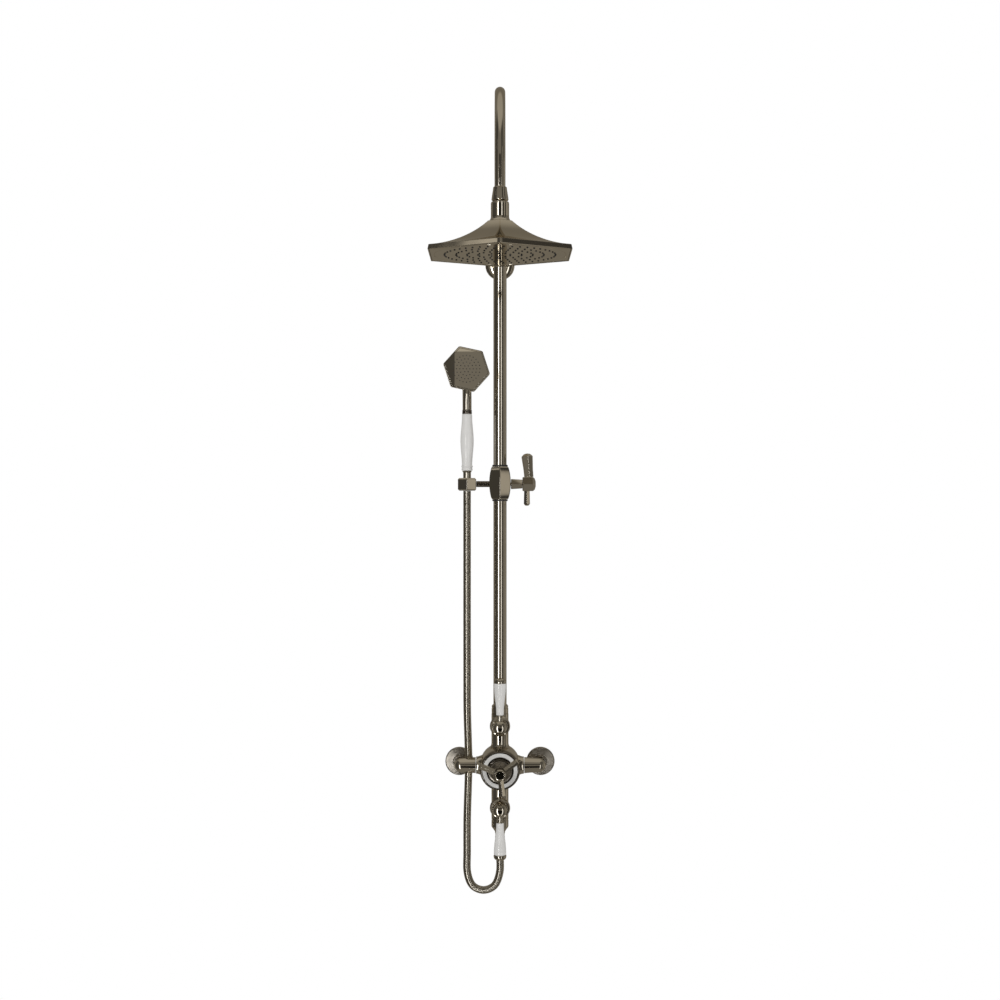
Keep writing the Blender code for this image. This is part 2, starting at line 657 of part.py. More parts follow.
def temperature_handle():
    axis = on_axis("temperature_handle", 0, 0, VALVE_Z)
    centre = at(0, 0, VALVE_Z) @ FRONT
    back = BONNET_FRONT - 0.004
    bore = SPINDLE_R + SLIP
    depth = HUB_BARREL_BACK - 0.012 + GAP
    dome = bezier((HUB_BARREL_R, HUB_BARREL_BACK), (HUB_BARREL_R + 0.002, HUB_BARREL_BACK - 0.010),
                  (HUB_DOME_R, HUB_BARREL_BACK - 0.010), (HUB_DOME_R, BONNET_FRONT + 0.002), 6)
    add("temperature_hub", turned_mesh(
        [(0, HUB_FRONT), (HUB_BARREL_R, HUB_FRONT)] + dome
        + [(HUB_SKIRT_R, BONNET_FRONT + 0.0012), (HUB_SKIRT_R, back), (bore, back),
           (bore, depth), (0, depth)], PIPE), METAL, centre, axis)
    cap_back = HUB_FRONT + GAP
    add("hub_cap", turned_mesh(
        [(0, CAP_FRONT), (HUB_BARREL_R - 0.002, CAP_FRONT - 0.0003),
         (HUB_BARREL_R - 0.0004, CAP_FRONT - 0.0015), (HUB_BARREL_R - 0.0004, cap_back),
         (0, cap_back)], PART), METAL, centre, axis)
    seat = HUB_BARREL_R + GAP
    for number in range(3):
        angle = radians(SPOKE_TURN + 30 + 120 * number)
        outwards = at(0, SPOKE_PLANE, VALVE_Z) @ Matrix.Rotation(pi / 2 - angle, 4, "Y")
        add("temperature_spoke_%d" % (number + 1), turned_mesh(
            [(0, SPOKE_END), (SPOKE_R - 0.0006, SPOKE_END), (SPOKE_R, SPOKE_END - 0.0006),
             (SPOKE_R, seat), (0, seat)], 6), METAL, outwards @ CORNER_FORWARD, axis)


def lever_tap(tap, sign):
    z = VALVE_Z + sign * TAP_OFFSET
    centre = at(0, 0, z) @ FRONT
    axis = on_axis(tap + "_lever", 0, LEVER_PLANE, z)
    spindle_end = LEVER_PLANE - LEVER_STEM_R - 0.001
    add(tap + "_tap_cartridge", turned_mesh(
        [(0, spindle_end), (TAP_SPINDLE_R, spindle_end), (TAP_SPINDLE_R, COLLAR_FRONT - 0.001),
         (TAP_CARTRIDGE_R, COLLAR_FRONT - 0.001), (TAP_CARTRIDGE_R, TAP_CARTRIDGE_BACK),
         (0, TAP_CARTRIDGE_BACK)], SMALL), BRASS, centre)
    collar_back = TAP_BOSS_FRONT + GAP
    add(tap + "_tap_collar", turned_mesh(
        [(TAP_CARTRIDGE_R + GAP, COLLAR_FRONT), (LEVER_HUB_R + 0.001, COLLAR_FRONT),
         (COLLAR_R, COLLAR_FRONT - 0.003), (COLLAR_R, collar_back),
         (TAP_CARTRIDGE_R + GAP, collar_back)], PIPE, True), METAL, centre)
    hub_back = COLLAR_FRONT + GAP
    bore = TAP_SPINDLE_R + SLIP
    dome = bezier((0, LEVER_HUB_FRONT), (LEVER_HUB_R * 0.55, LEVER_HUB_FRONT),
                  (LEVER_HUB_R, LEVER_HUB_FRONT - 0.002), (LEVER_HUB_R, LEVER_HUB_FRONT - 0.009), 6)
    hub = add(tap + "_lever_hub", turned_mesh(
        dome + [(LEVER_HUB_R, hub_back + 0.001), (LEVER_HUB_R - 0.001, hub_back),
                (bore, hub_back), (bore, spindle_end + GAP), (0, spindle_end + GAP)], PART),
        METAL, centre, axis)
    outwards = at(0, LEVER_PLANE, z)
    if sign < 0:
        outwards = outwards @ Matrix.Rotation(pi, 4, "Y")
    tenon_r = 0.0035
    tenon_end = GRIP_START + 0.010
    join(hub, turned_mesh(
        [(0, tenon_end), (tenon_r, tenon_end), (tenon_r, GRIP_START - GAP),
         (LEVER_STEM_R, GRIP_START - GAP), (LEVER_STEM_R, LEVER_HUB_R - 0.003),
         (0, LEVER_HUB_R - 0.003)], SMALL), "stem", outwards)
    grip_bore = tenon_r + GAP
    add(tap + "_lever_grip", turned_mesh(
        [(0, GRIP_END)] + [(GRIP_R_END - 0.0012, GRIP_END), (GRIP_R_END, GRIP_END - 0.0014)]
        + eased((GRIP_R_END, GRIP_END - 0.004), (GRIP_R_START, GRIP_START + 0.003), 6)
        + [(GRIP_R_START, GRIP_START + 0.002), (GRIP_R_START - 0.001, GRIP_START),
           (grip_bore, GRIP_START), (grip_bore, tenon_end + GAP), (0, tenon_end + GAP)], SMALL),
        CERAMIC, outwards, axis)
    cap_start = GRIP_END + GAP
    cap_end = cap_start + LEVER_CAP_TALL
    add(tap + "_lever_cap", turned_mesh(
        [(0, cap_end)] + bezier((LEVER_CAP_R_END, cap_end), (LEVER_CAP_R_END + 0.003, cap_end - 0.0005),
                                (LEVER_CAP_R, cap_end - 0.003), (LEVER_CAP_R, cap_start + 0.0018), 4)
        + [(LEVER_CAP_R - 0.0006, cap_start), (0, cap_start)], SMALL), METAL, outwards, axis)


# ---- Slider and clamp ------------------------------------------------------------------------------------------------------------

def slider():
    axis = on_axis("slider", 0, PIPE_OUT, SLIDER_Z)
    place = at(0, PIPE_OUT, SLIDER_Z)
    body_half_tall = SLIDER_HALF_TALL - BUSH_TALL - GAP
    rows = 8
    barrel = []
    for i in range(rows + 1):
        height = body_half_tall * (1 - 2 * i / rows)
        swell = cos(pi / 2 * height / body_half_tall) ** 0.8
        barrel.append((SLIDER_HALF_END + (SLIDER_HALF_MID - SLIDER_HALF_END) * swell, height))
    body = add("slider_body", turned_mesh(
        [(0, body_half_tall)] + hex_profile(barrel) + [(0, -body_half_tall)], 6),
        METAL, place @ CORNER_FORWARD, axis)
    cut(body, rod_mesh(RISER_R + SLIP + 0.0003, -2 * SLIDER_HALF_TALL, 2 * SLIDER_HALF_TALL, PIPE),
        "riser_bore", place)
    cross = at(0, PIPE_OUT, CROSS_Z)
    cut(body, rod_mesh(ROD_R + SLIP, 0.008, 0.03, SMALL), "rod_bore", cross @ LEFT)
    pad_r = 0.0045
    cut(body, rod_mesh(pad_r + GAP, 0.008, 0.03, SMALL), "pad_bore", cross @ RIGHT)
    for end, sign in (("upper", 1), ("lower", -1)):
        near = sign * (SLIDER_HALF_TALL - BUSH_TALL)
        far = sign * SLIDER_HALF_TALL
        add("slider_bush_" + end, ring_mesh(BUSH_R, RISER_R + SLIP, min(near, far), max(near, far), PART),
            PLASTIC, place, axis)
    pad_start = RISER_R + SLIP + 0.0004
    pad_end = pad_start + 0.0025
    add("clamp_pad", rod_mesh(pad_r, pad_start, pad_end, TINY), RUBBER, cross @ RIGHT, axis)
    add("clamp_screw", rod_mesh(CLAMP_SCREW_R, pad_end + GAP, LEVER_START + 0.006, TINY),
        DARK_METAL, cross @ RIGHT, axis)
    bore = (CLAMP_SCREW_R + GAP) * HEX
    add("clamp_sleeve", turned_mesh(
        [(bore, SLEEVE_END), (SLEEVE_R_END - 0.0008, SLEEVE_END), (SLEEVE_R_END, SLEEVE_END - 0.0008),
         (SLEEVE_R_START, SLEEVE_START), (bore, SLEEVE_START)], 6, True), METAL,
        cross @ RIGHT @ CORNER_FORWARD, axis)


def clamp_lever():
    axis = on_axis("clamp_lever", 0, PIPE_OUT, CROSS_Z)
    cross = at(0, PIPE_OUT, CROSS_Z)
    bore = CLAMP_SCREW_R + SLIP
    depth = LEVER_START + 0.006 + 2 * GAP
    profile = hex_profile([(LEVER_HALF * 0.35, LEVER_END), (LEVER_HALF * 0.8, LEVER_END - 0.0018),
                           (LEVER_HALF, LEVER_END - 0.005), (LEVER_HALF, LEVER_START + 0.001),
                           (LEVER_HALF - 0.001, LEVER_START)])
    hub = add("clamp_lever_hub", turned_mesh([(0, LEVER_END)] + profile + [(0, LEVER_START)], 6),
              METAL, cross @ RIGHT @ CORNER_FORWARD, axis)
    cut(hub, rod_mesh(bore, LEVER_START - 0.01, depth, TINY), "screw_bore", cross @ RIGHT)
    root = LEVER_HALF - 0.001
    short_length = SHORT_ARM_END - root
    short_place = cross @ at(SHORT_ARM_X) @ Matrix.Rotation(pi, 4, "Y")
    join(hub, turned_mesh(hex_profile(
        [(0, short_length), (SHORT_ARM_HALF * 0.3, short_length - 0.0006),
         (SHORT_ARM_HALF, short_length - 0.006), (SHORT_ARM_HALF * 0.9, 0), (0, 0)]), 6),
        "short_arm", short_place @ Matrix.Translation((0, 0, root)))
    seat = LEVER_HALF + 0.0011
    lean = Matrix.Rotation(radians(-LONG_ARM_LEAN), 4, "Y")
    length = LONG_ARM_END - seat
    add("clamp_lever_arm", turned_mesh(hex_profile(
        [(0, length), (LONG_ARM_HALF_END * 0.45, length - 0.001),
         (LONG_ARM_HALF_END, length - 0.006), (LONG_ARM_HALF_START, 0), (0, 0)]), 6),
        METAL, cross @ at(LONG_ARM_X) @ Matrix.Translation((0, 0, seat)) @ lean, axis)


# ---- Holder and hand shower -------------------------------------------------------------------------------------------------------------

def holder():
    axis = on_axis("holder", HOLDER_X, PIPE_OUT, CROSS_Z)
    cross = at(0, PIPE_OUT, CROSS_Z)
    rod_end = -HOLDER_X - BLOCK_HALF - GAP
    add("holder_rod", rod_mesh(ROD_R, ROD_START, rod_end, SMALL), METAL, cross @ LEFT, axis)
    place = at(HOLDER_X, PIPE_OUT)
    block = add("holder_block", turned_mesh(hex_profile(
        [(0, BLOCK_TOP), (BLOCK_HALF - 0.0008, BLOCK_TOP), (BLOCK_HALF, BLOCK_TOP - 0.0008),
         (BLOCK_HALF, BLOCK_FOOT + 0.0008), (BLOCK_HALF - 0.0008, BLOCK_FOOT), (0, BLOCK_FOOT)]), 6),
        METAL, place @ CORNER_FORWARD, axis)
    cut(block, rod_mesh(INSERT_R + GAP, BLOCK_FOOT - 0.01, BLOCK_TOP + 0.01, PART), "insert_bore", place)
    top = BLOCK_TOP - 0.0005
    foot = BLOCK_FOOT + 0.0005
    add("holder_insert", turned_mesh(
        [(CONE_R_TOP + SLIP, top), (INSERT_R, top), (INSERT_R, foot), (CONE_R_FOOT + SLIP, foot)],
        28, True), PLASTIC, place, axis)


def hand_shower():
    lift = on_axis("hose_end", HOLDER_X, PIPE_OUT, BLOCK_TOP)
    place = at(HOLDER_X, PIPE_OUT)
    cone_top = BLOCK_TOP - 0.0002
    cone_foot = BLOCK_FOOT - 0.0002
    add("hose_cone_nut", turned_mesh(
        [(0, cone_top), (CONE_R_TOP, cone_top), (CONE_R_FOOT, cone_foot), (0, cone_foot)], PART),
        METAL, place, lift)
    swivel = on_axis("hand_shower", HOLDER_X, PIPE_OUT, BLOCK_TOP)
    ferrule_foot = cone_top + GAP
    tube_end = SHOWER_COLLAR_TOP - 0.002
    add("handset_ferrule", turned_mesh(
        [(0, tube_end), (SHOWER_TUBE_R, tube_end), (SHOWER_TUBE_R, FERRULE_TOP),
         (FERRULE_R + 0.0006, FERRULE_TOP), (FERRULE_R + 0.0006, FERRULE_TOP - 0.002),
         (FERRULE_R, FERRULE_TOP - 0.003), (FERRULE_R, ferrule_foot), (0, ferrule_foot)], SMALL),
        METAL, place, swivel)
    handle_foot = FERRULE_TOP + GAP
    handle_top = HANDLE_TOP - GAP
    bore = SHOWER_TUBE_R + GAP
    outer = eased((HANDLE_R_TOP, handle_top - 0.003), (HANDLE_R_MID, HANDLE_MID_Z), 5)
    outer += eased((HANDLE_R_MID, HANDLE_MID_Z), (HANDLE_R_FOOT, handle_foot + 0.004), 5)
    add("handset_handle", turned_mesh(
        [(bore, handle_top), (HANDLE_R_TOP - 0.001, handle_top), (HANDLE_R_TOP, handle_top - 0.0015)]
        + outer + [(HANDLE_R_FOOT, handle_foot + 0.002), (HANDLE_R_FOOT - 0.001, handle_foot),
                   (bore, handle_foot)], PART, True), CERAMIC, place, swivel)
    add("handset_collar", turned_mesh(
        [(bore, SHOWER_COLLAR_TOP), (SHOWER_COLLAR_R - 0.0005, SHOWER_COLLAR_TOP),
         (SHOWER_COLLAR_R, SHOWER_COLLAR_TOP - 0.001), (SHOWER_COLLAR_R, HANDLE_TOP), (bore, HANDLE_TOP)],
        24, True), DARK_METAL, place, swivel)
    hand_shower_head(swivel)


def hand_shower_head(swivel):
    """The six-sided shell with its cast neck, and the spray plate in its front."""
    centre = at(HOLDER_X, 0, SHOWER_HEAD_Z) @ FRONT
    clocked = centre @ Matrix.Rotation(radians(-SHOWER_CLOCK), 4, "Z")
    shell = add("handset_head", turned_mesh(hex_profile(
        [(0, SHOWER_FACE_OUT), (SHOWER_HEAD_HALF - 0.001, SHOWER_FACE_OUT),
         (SHOWER_HEAD_HALF, SHOWER_FACE_OUT - 0.001), (SHOWER_HEAD_HALF, SHOWER_RIM_OUT),
         (SHOWER_BACK_HALF, SHOWER_BACK_OUT), (0, SHOWER_BACK_OUT)]), 6), METAL, clocked, swivel)
    neck_foot = SHOWER_COLLAR_TOP + GAP
    straight = neck_foot + 0.005
    route = [(HOLDER_X, -PIPE_OUT, neck_foot)]
    route += bezier((HOLDER_X, -PIPE_OUT, straight), (HOLDER_X, -PIPE_OUT, straight + 0.018),
                    (HOLDER_X, -0.057, SHOWER_HEAD_Z - 0.035),
                    (HOLDER_X, -0.078, SHOWER_HEAD_Z - 0.012), 7)
    join(shell, swept_mesh(route, SHOWER_NECK_R, TINY), "neck")
    recess = SHOWER_FACE_OUT - SHOWER_PLATE_THICK - GAP
    plate_half = SHOWER_HEAD_HALF - 0.0025
    cut(shell, turned_mesh(hex_profile(
        [(0, SHOWER_FACE_OUT + 0.01), (plate_half, SHOWER_FACE_OUT + 0.01), (plate_half, recess),
         (0, recess)]), 6), "plate_recess", clocked)
    cut(shell, rod_mesh(plate_half - 0.006, recess - 0.008, recess + 0.001, SMALL), "chamber", centre)
    fitted = plate_half - GAP
    add("handset_face_plate", turned_mesh(hex_profile(
        [(0, SHOWER_FACE_OUT), (fitted, SHOWER_FACE_OUT), (fitted, recess + GAP), (0, recess + GAP)]), 6),
        METAL, clocked, swivel)


# ---- Hose ------------------------------------------------------------------------------------------------------------------------------------

def hose():
    """One hose in three lengths, cut where it passes from one moving body to the next."""
    cuts = (HOSE_CUT_SLIDER, HOSE_CUT_HOLDER)
    first = [p for p in HOSE_ROUTE if p[2] <= HOSE_CUT_SLIDER]
    middle = [p for p in HOSE_ROUTE if cuts[0] <= p[2] <= cuts[1]]
    last = [p for p in HOSE_ROUTE if p[2] >= cuts[1]]
    for name, route in (("hose", first), ("hose_upper", middle), ("hose_tip", last)):
        points = smooth_route(route, HOSE_STEP)
        if name != "hose":
            points[0] = points[0] + Vector((0, 0, GAP))
        add(name, swept_mesh(points, HOSE_R, 8), HOSE_METAL)


def build():
    wall_bracket()
    riser()
    gooseneck()
    rain_head()
    valve_body()
    valve_trim()
    for side, sign in (("left", -1), ("right", 1)):
        inlet(side, sign)
    hose_outlet()
    temperature_handle()
    for tap, sign in (("upper", 1), ("lower", -1)):
        lever_tap(tap, sign)
    slider()
    clamp_lever()
    holder()
    hand_shower()
    hose()


clear_scene()
PARTS = new_collection("shower_column")
CUTTERS = new_collection("cutters")
build()
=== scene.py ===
"""The finished look of the shower column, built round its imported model.

Metres. +X is right, -Y points out of the wall and +Z is up. A distance called out is
measured in front of the wall. Every new piece is a closed skin over rows of points.
"""
from math import cos, pi, radians, sin

import bpy
import numpy as np
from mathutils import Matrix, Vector


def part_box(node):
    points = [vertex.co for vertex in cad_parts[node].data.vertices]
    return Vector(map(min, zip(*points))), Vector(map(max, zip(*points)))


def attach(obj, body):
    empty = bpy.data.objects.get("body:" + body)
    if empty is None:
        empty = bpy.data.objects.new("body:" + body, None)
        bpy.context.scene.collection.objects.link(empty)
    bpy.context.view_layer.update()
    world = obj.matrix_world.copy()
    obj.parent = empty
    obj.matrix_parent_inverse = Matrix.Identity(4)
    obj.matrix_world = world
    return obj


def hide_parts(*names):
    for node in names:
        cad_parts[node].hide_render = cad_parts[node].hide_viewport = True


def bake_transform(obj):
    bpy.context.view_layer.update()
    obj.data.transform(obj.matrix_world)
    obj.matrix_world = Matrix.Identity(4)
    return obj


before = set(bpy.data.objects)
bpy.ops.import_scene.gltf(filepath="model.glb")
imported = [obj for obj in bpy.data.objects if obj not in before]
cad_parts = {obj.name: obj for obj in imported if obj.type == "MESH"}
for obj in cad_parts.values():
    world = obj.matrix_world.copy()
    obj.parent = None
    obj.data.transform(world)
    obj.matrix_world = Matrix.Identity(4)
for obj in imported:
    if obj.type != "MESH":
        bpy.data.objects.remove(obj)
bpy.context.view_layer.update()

# ---- Where things are, read from the frame -------------------------------------------


def ends(node, axis):
    """A node's lowest and highest place along x, y or z."""
    low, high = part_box(node)
    return low["xyz".index(axis)], high["xyz".index(axis)]


def middle(node, axis):
    return sum(ends(node, axis)) / 2


def width(node, axis):
    low, high = ends(node, axis)
    return high - low


def upright_round(node):
    """An upright round node's lowest and highest place, and its radius."""
    return *ends(node, "z"), width(node, "x") / 2


def outs(node):
    """A node's nearest and farthest distance in front of the wall."""
    low, high = ends(node, "y")
    return -high, -low


PIPE_OUT = -middle("riser_pipe", "y")
HEAD_OUT = -middle("head_bell", "y")
VALVE_Z = middle("valve_bonnet", "z")
UPPER_TAP_Z = middle("upper_tap_collar", "z")
LOWER_TAP_Z = middle("lower_tap_collar", "z")
CROSS_Z = middle("holder_rod", "z")
HOLDER_X = middle("holder_block", "x")
RISER_R = width("riser_pipe", "x") / 2
NECK_R = width("gooseneck_pipe", "x") / 2
HOSE_R = width("hose_upper", "x") / 2
HEX = 1 / cos(pi / 6)       # a hexagon's corner radius over half its width across flats

# ---- The hose ------------------------------------------------------------------------
HOSE_PITCH = 0.0023         # from one rib to the next
HOSE_GROOVE = 0.0003
HOSE_START_Z = -1.0503
HOSE_CUT_SLIDER = -0.500    # below it the hose hangs from the slider
HOSE_CUT_HOLDER = -0.440    # below it the hose hangs from the holder
HOSE_TOP = -0.4175
# The hose's route: x, distance in front of the wall, z
HOSE_ROUTE = (
    (0.000, 0.050, HOSE_START_Z),
    (0.000, 0.050, -1.082),
    (-0.0005, 0.050, -1.112),
    (-0.010, 0.050, -1.136),
    (-0.030, 0.050, -1.1445),
    (-0.050, 0.050, -1.136),
    (-0.0595, 0.049, -1.112),
    (-0.060, 0.046, -1.075),
    (-0.060, 0.037, -1.015),
    (-0.0585, 0.029, -0.960),
    (-0.0575, 0.0265, -0.917),
    (-0.0585, 0.029, -0.874),
    (-0.060, 0.037, -0.815),
    (-0.060, 0.046, -0.750),
    (-0.060, 0.050, -0.680),
    (-0.060, 0.050, -0.590),
    (-0.060, 0.050, HOSE_CUT_SLIDER),
    (-0.060, 0.050, HOSE_CUT_HOLDER),
    (-0.060, 0.050, HOSE_TOP),
)


# ---- Ways a piece can point: the columns are its own axes in the world ---------------
def about_y(angle):
    return np.array(((cos(angle), 0, sin(angle)), (0, 1, 0), (-sin(angle), 0, cos(angle))))


UP = np.eye(3)
DOWN = about_y(pi)
RIGHT = about_y(pi / 2)
LEFT = about_y(-pi / 2)
FRONT = np.array(((1.0, 0, 0), (0, 0, -1), (0, 1, 0)))


def at(x=0.0, out=0.0, z=0.0):
    """The point at x, a distance in front of the wall, and z."""
    return np.array((x, -out, z))


# ---- Shapes --------------------------------------------------------------------------
SIDES = 72                  # round a turned piece
FILLET = 0.0006             # the usual radius of a rounded corner
FINE = 0.0003               # the radius on small turned pieces
GAP = 0.0003                # between a piece and the one inside it
FILLET_STEPS = 4
SHARPEST = 15               # degrees a profile may turn before its corner is rounded
CORNER_STEPS = 6
NOTHING = 1e-9


def rounded(profile, fillet=FILLET, loop=False):
    """A profile with its corners rounded.

    A corner P between its neighbours A and B becomes the quadratic curve
    (1-s)^2 a + 2 s (1-s) P + s^2 b, where a and b are the points on PA and PB at which a
    circle of the fillet's radius would touch. A point just past a and just past b keeps
    the straight sides flat where they are shaded. A profile that isn't a loop and ends
    off the axis gets a point on the axis level with each of its ends.
    """
    if not loop and profile[-1][0] > 0:
        profile = [(0, profile[0][1]), *profile, (0, profile[-1][1])]
    points = np.array(profile, float)
    count = len(points)
    s = np.linspace(0, 1, FILLET_STEPS + 1)[:, None]
    result = []
    for i in range(count):
        corner = points[i]
        if not loop and i in (0, count - 1):
            result.append(corner[None])
            continue
        back, on = points[i - 1] - corner, points[(i + 1) % count] - corner
        reach_back, reach_on = np.hypot(*back), np.hypot(*on)
        back, on = back / reach_back, on / reach_on
        turn = pi - np.arccos(np.clip(back @ on, -1, 1))
        if turn < radians(SHARPEST):
            result.append(corner[None])
            continue
        touch = min(fillet * np.tan(turn / 2), 0.3 * reach_back, 0.3 * reach_on)
        a, b = corner + back * touch, corner + on * touch
        curve = (1 - s) ** 2 * a + 2 * s * (1 - s) * corner + s ** 2 * b
        past = 0.4 * touch
        result.append(np.vstack((a + back * past, curve, b + on * past)))
    return np.vstack(result)


def skin(rows, loop=False):
    """A closed skin over rows of points, each row closed on itself.

    The first and last rows are closed by a fan of triangles to their middle, or joined
    to each other in a loop. A row that is one point is that middle. The faces are
    turned round where the volume inside comes out negative.
    """
    first, last = rows[0].mean(axis=0), rows[-1].mean(axis=0)
    if not loop and np.ptp(rows[0], axis=0).max() < NOTHING:
        rows = rows[1:]
    if not loop and np.ptp(rows[-1], axis=0).max() < NOTHING:
        rows = rows[:-1]
    count, around = rows.shape[:2]
    grid = np.arange(count * around).reshape(count, around)
    points = rows.reshape(-1, 3)
    if loop:
        grid = np.vstack((grid, grid[:1]))
    near, far = grid[:-1], grid[1:]
    quads = np.stack((near, np.roll(near, -1, 1), np.roll(far, -1, 1), far), -1).reshape(-1, 4)
    fans = np.zeros((0, 3), int)
    if not loop:
        tips = np.full(around, len(points))
        start = np.stack((np.roll(grid[0], -1), grid[0], tips), -1)
        end = np.stack((grid[-1], np.roll(grid[-1], -1), tips + 1), -1)
        fans = np.vstack((start, end))
        points = np.vstack((points, first, last))
    corners = np.vstack((quads[:, :3], quads[:, (0, 2, 3)], fans))
    a, b, c = (points[corners[:, k]] - points.mean(axis=0) for k in range(3))
    if np.einsum("ij,ij->", a, np.cross(b, c)) < 0:
        quads, fans = quads[:, ::-1], fans[:, ::-1]
    return points, quads, fans


def together(*shapes):
    """Several skins as one, still separate closed bodies."""
    points, quads, fans, offset = [], [], [], 0
    for shape in shapes:
        points.append(shape[0])
        quads.append(shape[1] + offset)
        fans.append(shape[2] + offset)
        offset += len(shape[0])
    return np.vstack(points), np.vstack(quads), np.vstack(fans)


def placed(rows, turn, origin):
    return rows @ turn.T + np.asarray(origin)


def turned(profile, turn=UP, origin=(0, 0, 0), fillet=FILLET, sides=SIDES, loop=False):
    """A profile of (radius, height) turned round the piece's own Z: x = r cos a, y = r sin a."""
    radius, height = rounded(profile, fillet, loop).T[:, :, None]
    angle = np.linspace(0, 2 * pi, sides, endpoint=False)
    x, y = radius * np.cos(angle), radius * np.sin(angle)
    rows = np.stack(np.broadcast_arrays(x, y, height), -1)
    return skin(placed(rows, turn, origin), loop)


def rod(radius, start, end, turn=UP, origin=(0, 0, 0), fillet=FILLET, sides=SIDES):
    """A round bar along the piece's own Z between two heights."""
    profile = [(radius, end), (radius, start)]
    return turned(profile, turn, origin, fillet, sides)


def ring(profile, turn=UP, origin=(0, 0, 0), fillet=FINE, sides=SIDES):
    """A closed profile turned round the piece's own Z, clear of the axis."""
    return turned(profile, turn, origin, fillet, sides, True)


def band(outer, inner, start, end, turn=UP, origin=(0, 0, 0), fillet=FINE, sides=SIDES):
    """A plain ring round the piece's own Z between two heights."""
    profile = [(outer, end), (outer, start), (inner, start), (inner, end)]
    return ring(profile, turn, origin, fillet, sides)


def six_sided(profile, turn=UP, origin=(0, 0, 0), fillet=FILLET, corner=0.0009, twist=pi / 6,
              loop=False):
    """A six-sided piece along its own Z from a profile of (half-width across flats, height).

    Each row is a hexagon whose corners are arcs of the corner radius c, about centres at
    (half-width - c) times HEX along the corners' directions. The flats between have a
    point near each end, so that they are shaded flat.
    """
    half, height = rounded(profile, fillet, loop).T[:, :, None, None]
    soft = np.minimum(corner, 0.4 * half)
    directions = (twist + np.arange(6) * pi / 3)[:, None]
    sweep = directions + np.linspace(-pi / 6, pi / 6, CORNER_STEPS)
    x = (half - soft) * HEX * np.cos(directions) + soft * np.cos(sweep)
    y = (half - soft) * HEX * np.sin(directions) + soft * np.sin(sweep)
    share = np.array((0.04, 0.96))
    flats = [k[:, :, -1:] * (1 - share) + np.roll(k, -1, 1)[:, :, :1] * share for k in (x, y)]
    x, y = (np.concatenate((k, flat), 2).reshape(len(half), -1) for k, flat in zip((x, y), flats))
    rows = np.stack(np.broadcast_arrays(x, y, height[:, :, 0]), -1)
    return skin(placed(rows, turn, origin), loop)


def along(path, radius, sides=32, across=(0, 1, 0)):
    """A round bar along a path. Each ring is square to the path and clocked on one direction."""
    tangent = np.gradient(path, axis=0)
    tangent /= np.linalg.norm(tangent, axis=1)[:, None]
    one = np.cross(tangent, across)
    one /= np.linalg.norm(one, axis=1)[:, None]
    two = np.cross(one, tangent)
    angle = np.linspace(0, 2 * pi, sides, endpoint=False)[:, None]
    radius = np.broadcast_to(radius, len(path))[:, None, None]
    rows = path[:, None] + radius * (np.cos(angle) * one[:, None] + np.sin(angle) * two[:, None])
    return skin(rows)


def bezier(a, b, c, d, count=12):
    """Points of a cubic Bezier curve, both ends included."""
    t = np.linspace(0, 1, count + 1)[:, None]
    a, b, c, d = (np.array(p, float) for p in (a, b, c, d))
    s = 1 - t
    return s ** 3 * a + 3 * s * s * t * b + 3 * s * t * t * c + t ** 3 * d


def eased(start, end, count=10):
    """(radius, height) points on half a cosine wave, both ends included."""
    t = np.linspace(0, 1, count + 1)
    blend = (1 - np.cos(pi * t)) / 2
    return np.stack((start[0] + (end[0] - start[0]) * blend, start[1] + (end[1] - start[1]) * t), -1)


def smooth_route(route, step):
    """Evenly spaced points on the Catmull-Rom curve through a route's points."""
    knots = np.array([at(*point) for point in route])
    knots = np.vstack((2 * knots[0] - knots[1], knots, 2 * knots[-1] - knots[-2]))
    before, a, b, after = (knots[k:len(knots) - 3 + k, None] for k in range(4))
    t = np.linspace(0, 1, 24, endpoint=False)[:, None]
    fine = 0.5 * (2 * a + (b - before) * t + (2 * before - 5 * a + 4 * b - after) * t ** 2
                  + (3 * a - before - 3 * b + after) * t ** 3)
    fine = np.vstack((fine.reshape(-1, 3), knots[-2]))
    travelled = np.concatenate(((0,), np.cumsum(np.linalg.norm(np.diff(fine, axis=0), axis=1))))
    stops = np.linspace(0, travelled[-1], max(3, round(travelled[-1] / step) + 1))
    return np.stack([np.interp(stops, travelled, fine[:, k]) for k in range(3)], -1)


def domes(centres, radius, rise, sides=10):
    """Many small tips that hang from their centres: two rings and a point each."""
    angle = np.linspace(0, 2 * pi, sides, endpoint=False)
    around = np.stack((np.cos(angle), np.sin(angle), 0 * angle), -1)
    drop = np.array((0, 0, -1.0))
    rings = (radius * around - drop * rise, radius * around, 0.6 * radius * around + drop * 0.8 * rise)
    tips = (-drop[None] * rise, drop[None] * rise)
    one = np.vstack(rings + tips)
    grid = np.arange(3 * sides).reshape(3, sides)
    near, far = grid[:-1], grid[1:]
    quads = np.stack((near, far, np.roll(far, -1, 1), np.roll(near, -1, 1)), -1).reshape(-1, 4)
    top, tip = np.full(sides, 3 * sides), np.full(sides, 3 * sides + 1)
    fans = np.vstack((np.stack((grid[0], np.roll(grid[0], -1), top), -1),
                      np.stack((np.roll(grid[2], -1), grid[2], tip), -1)))
    centres = np.array(centres)
    shift = (np.arange(len(centres)) * len(one))[:, None, None]
    return ((centres[:, None] + one).reshape(-1, 3), (quads + shift).reshape(-1, 4),
            (fans + shift).reshape(-1, 3))


def mesh_of(name, shape):
    points, quads, fans = shape
    mesh = bpy.data.meshes.new(name)
    mesh.from_pydata(points.tolist(), [], quads.tolist() + fans.tolist())
    mesh.validate()
    return mesh


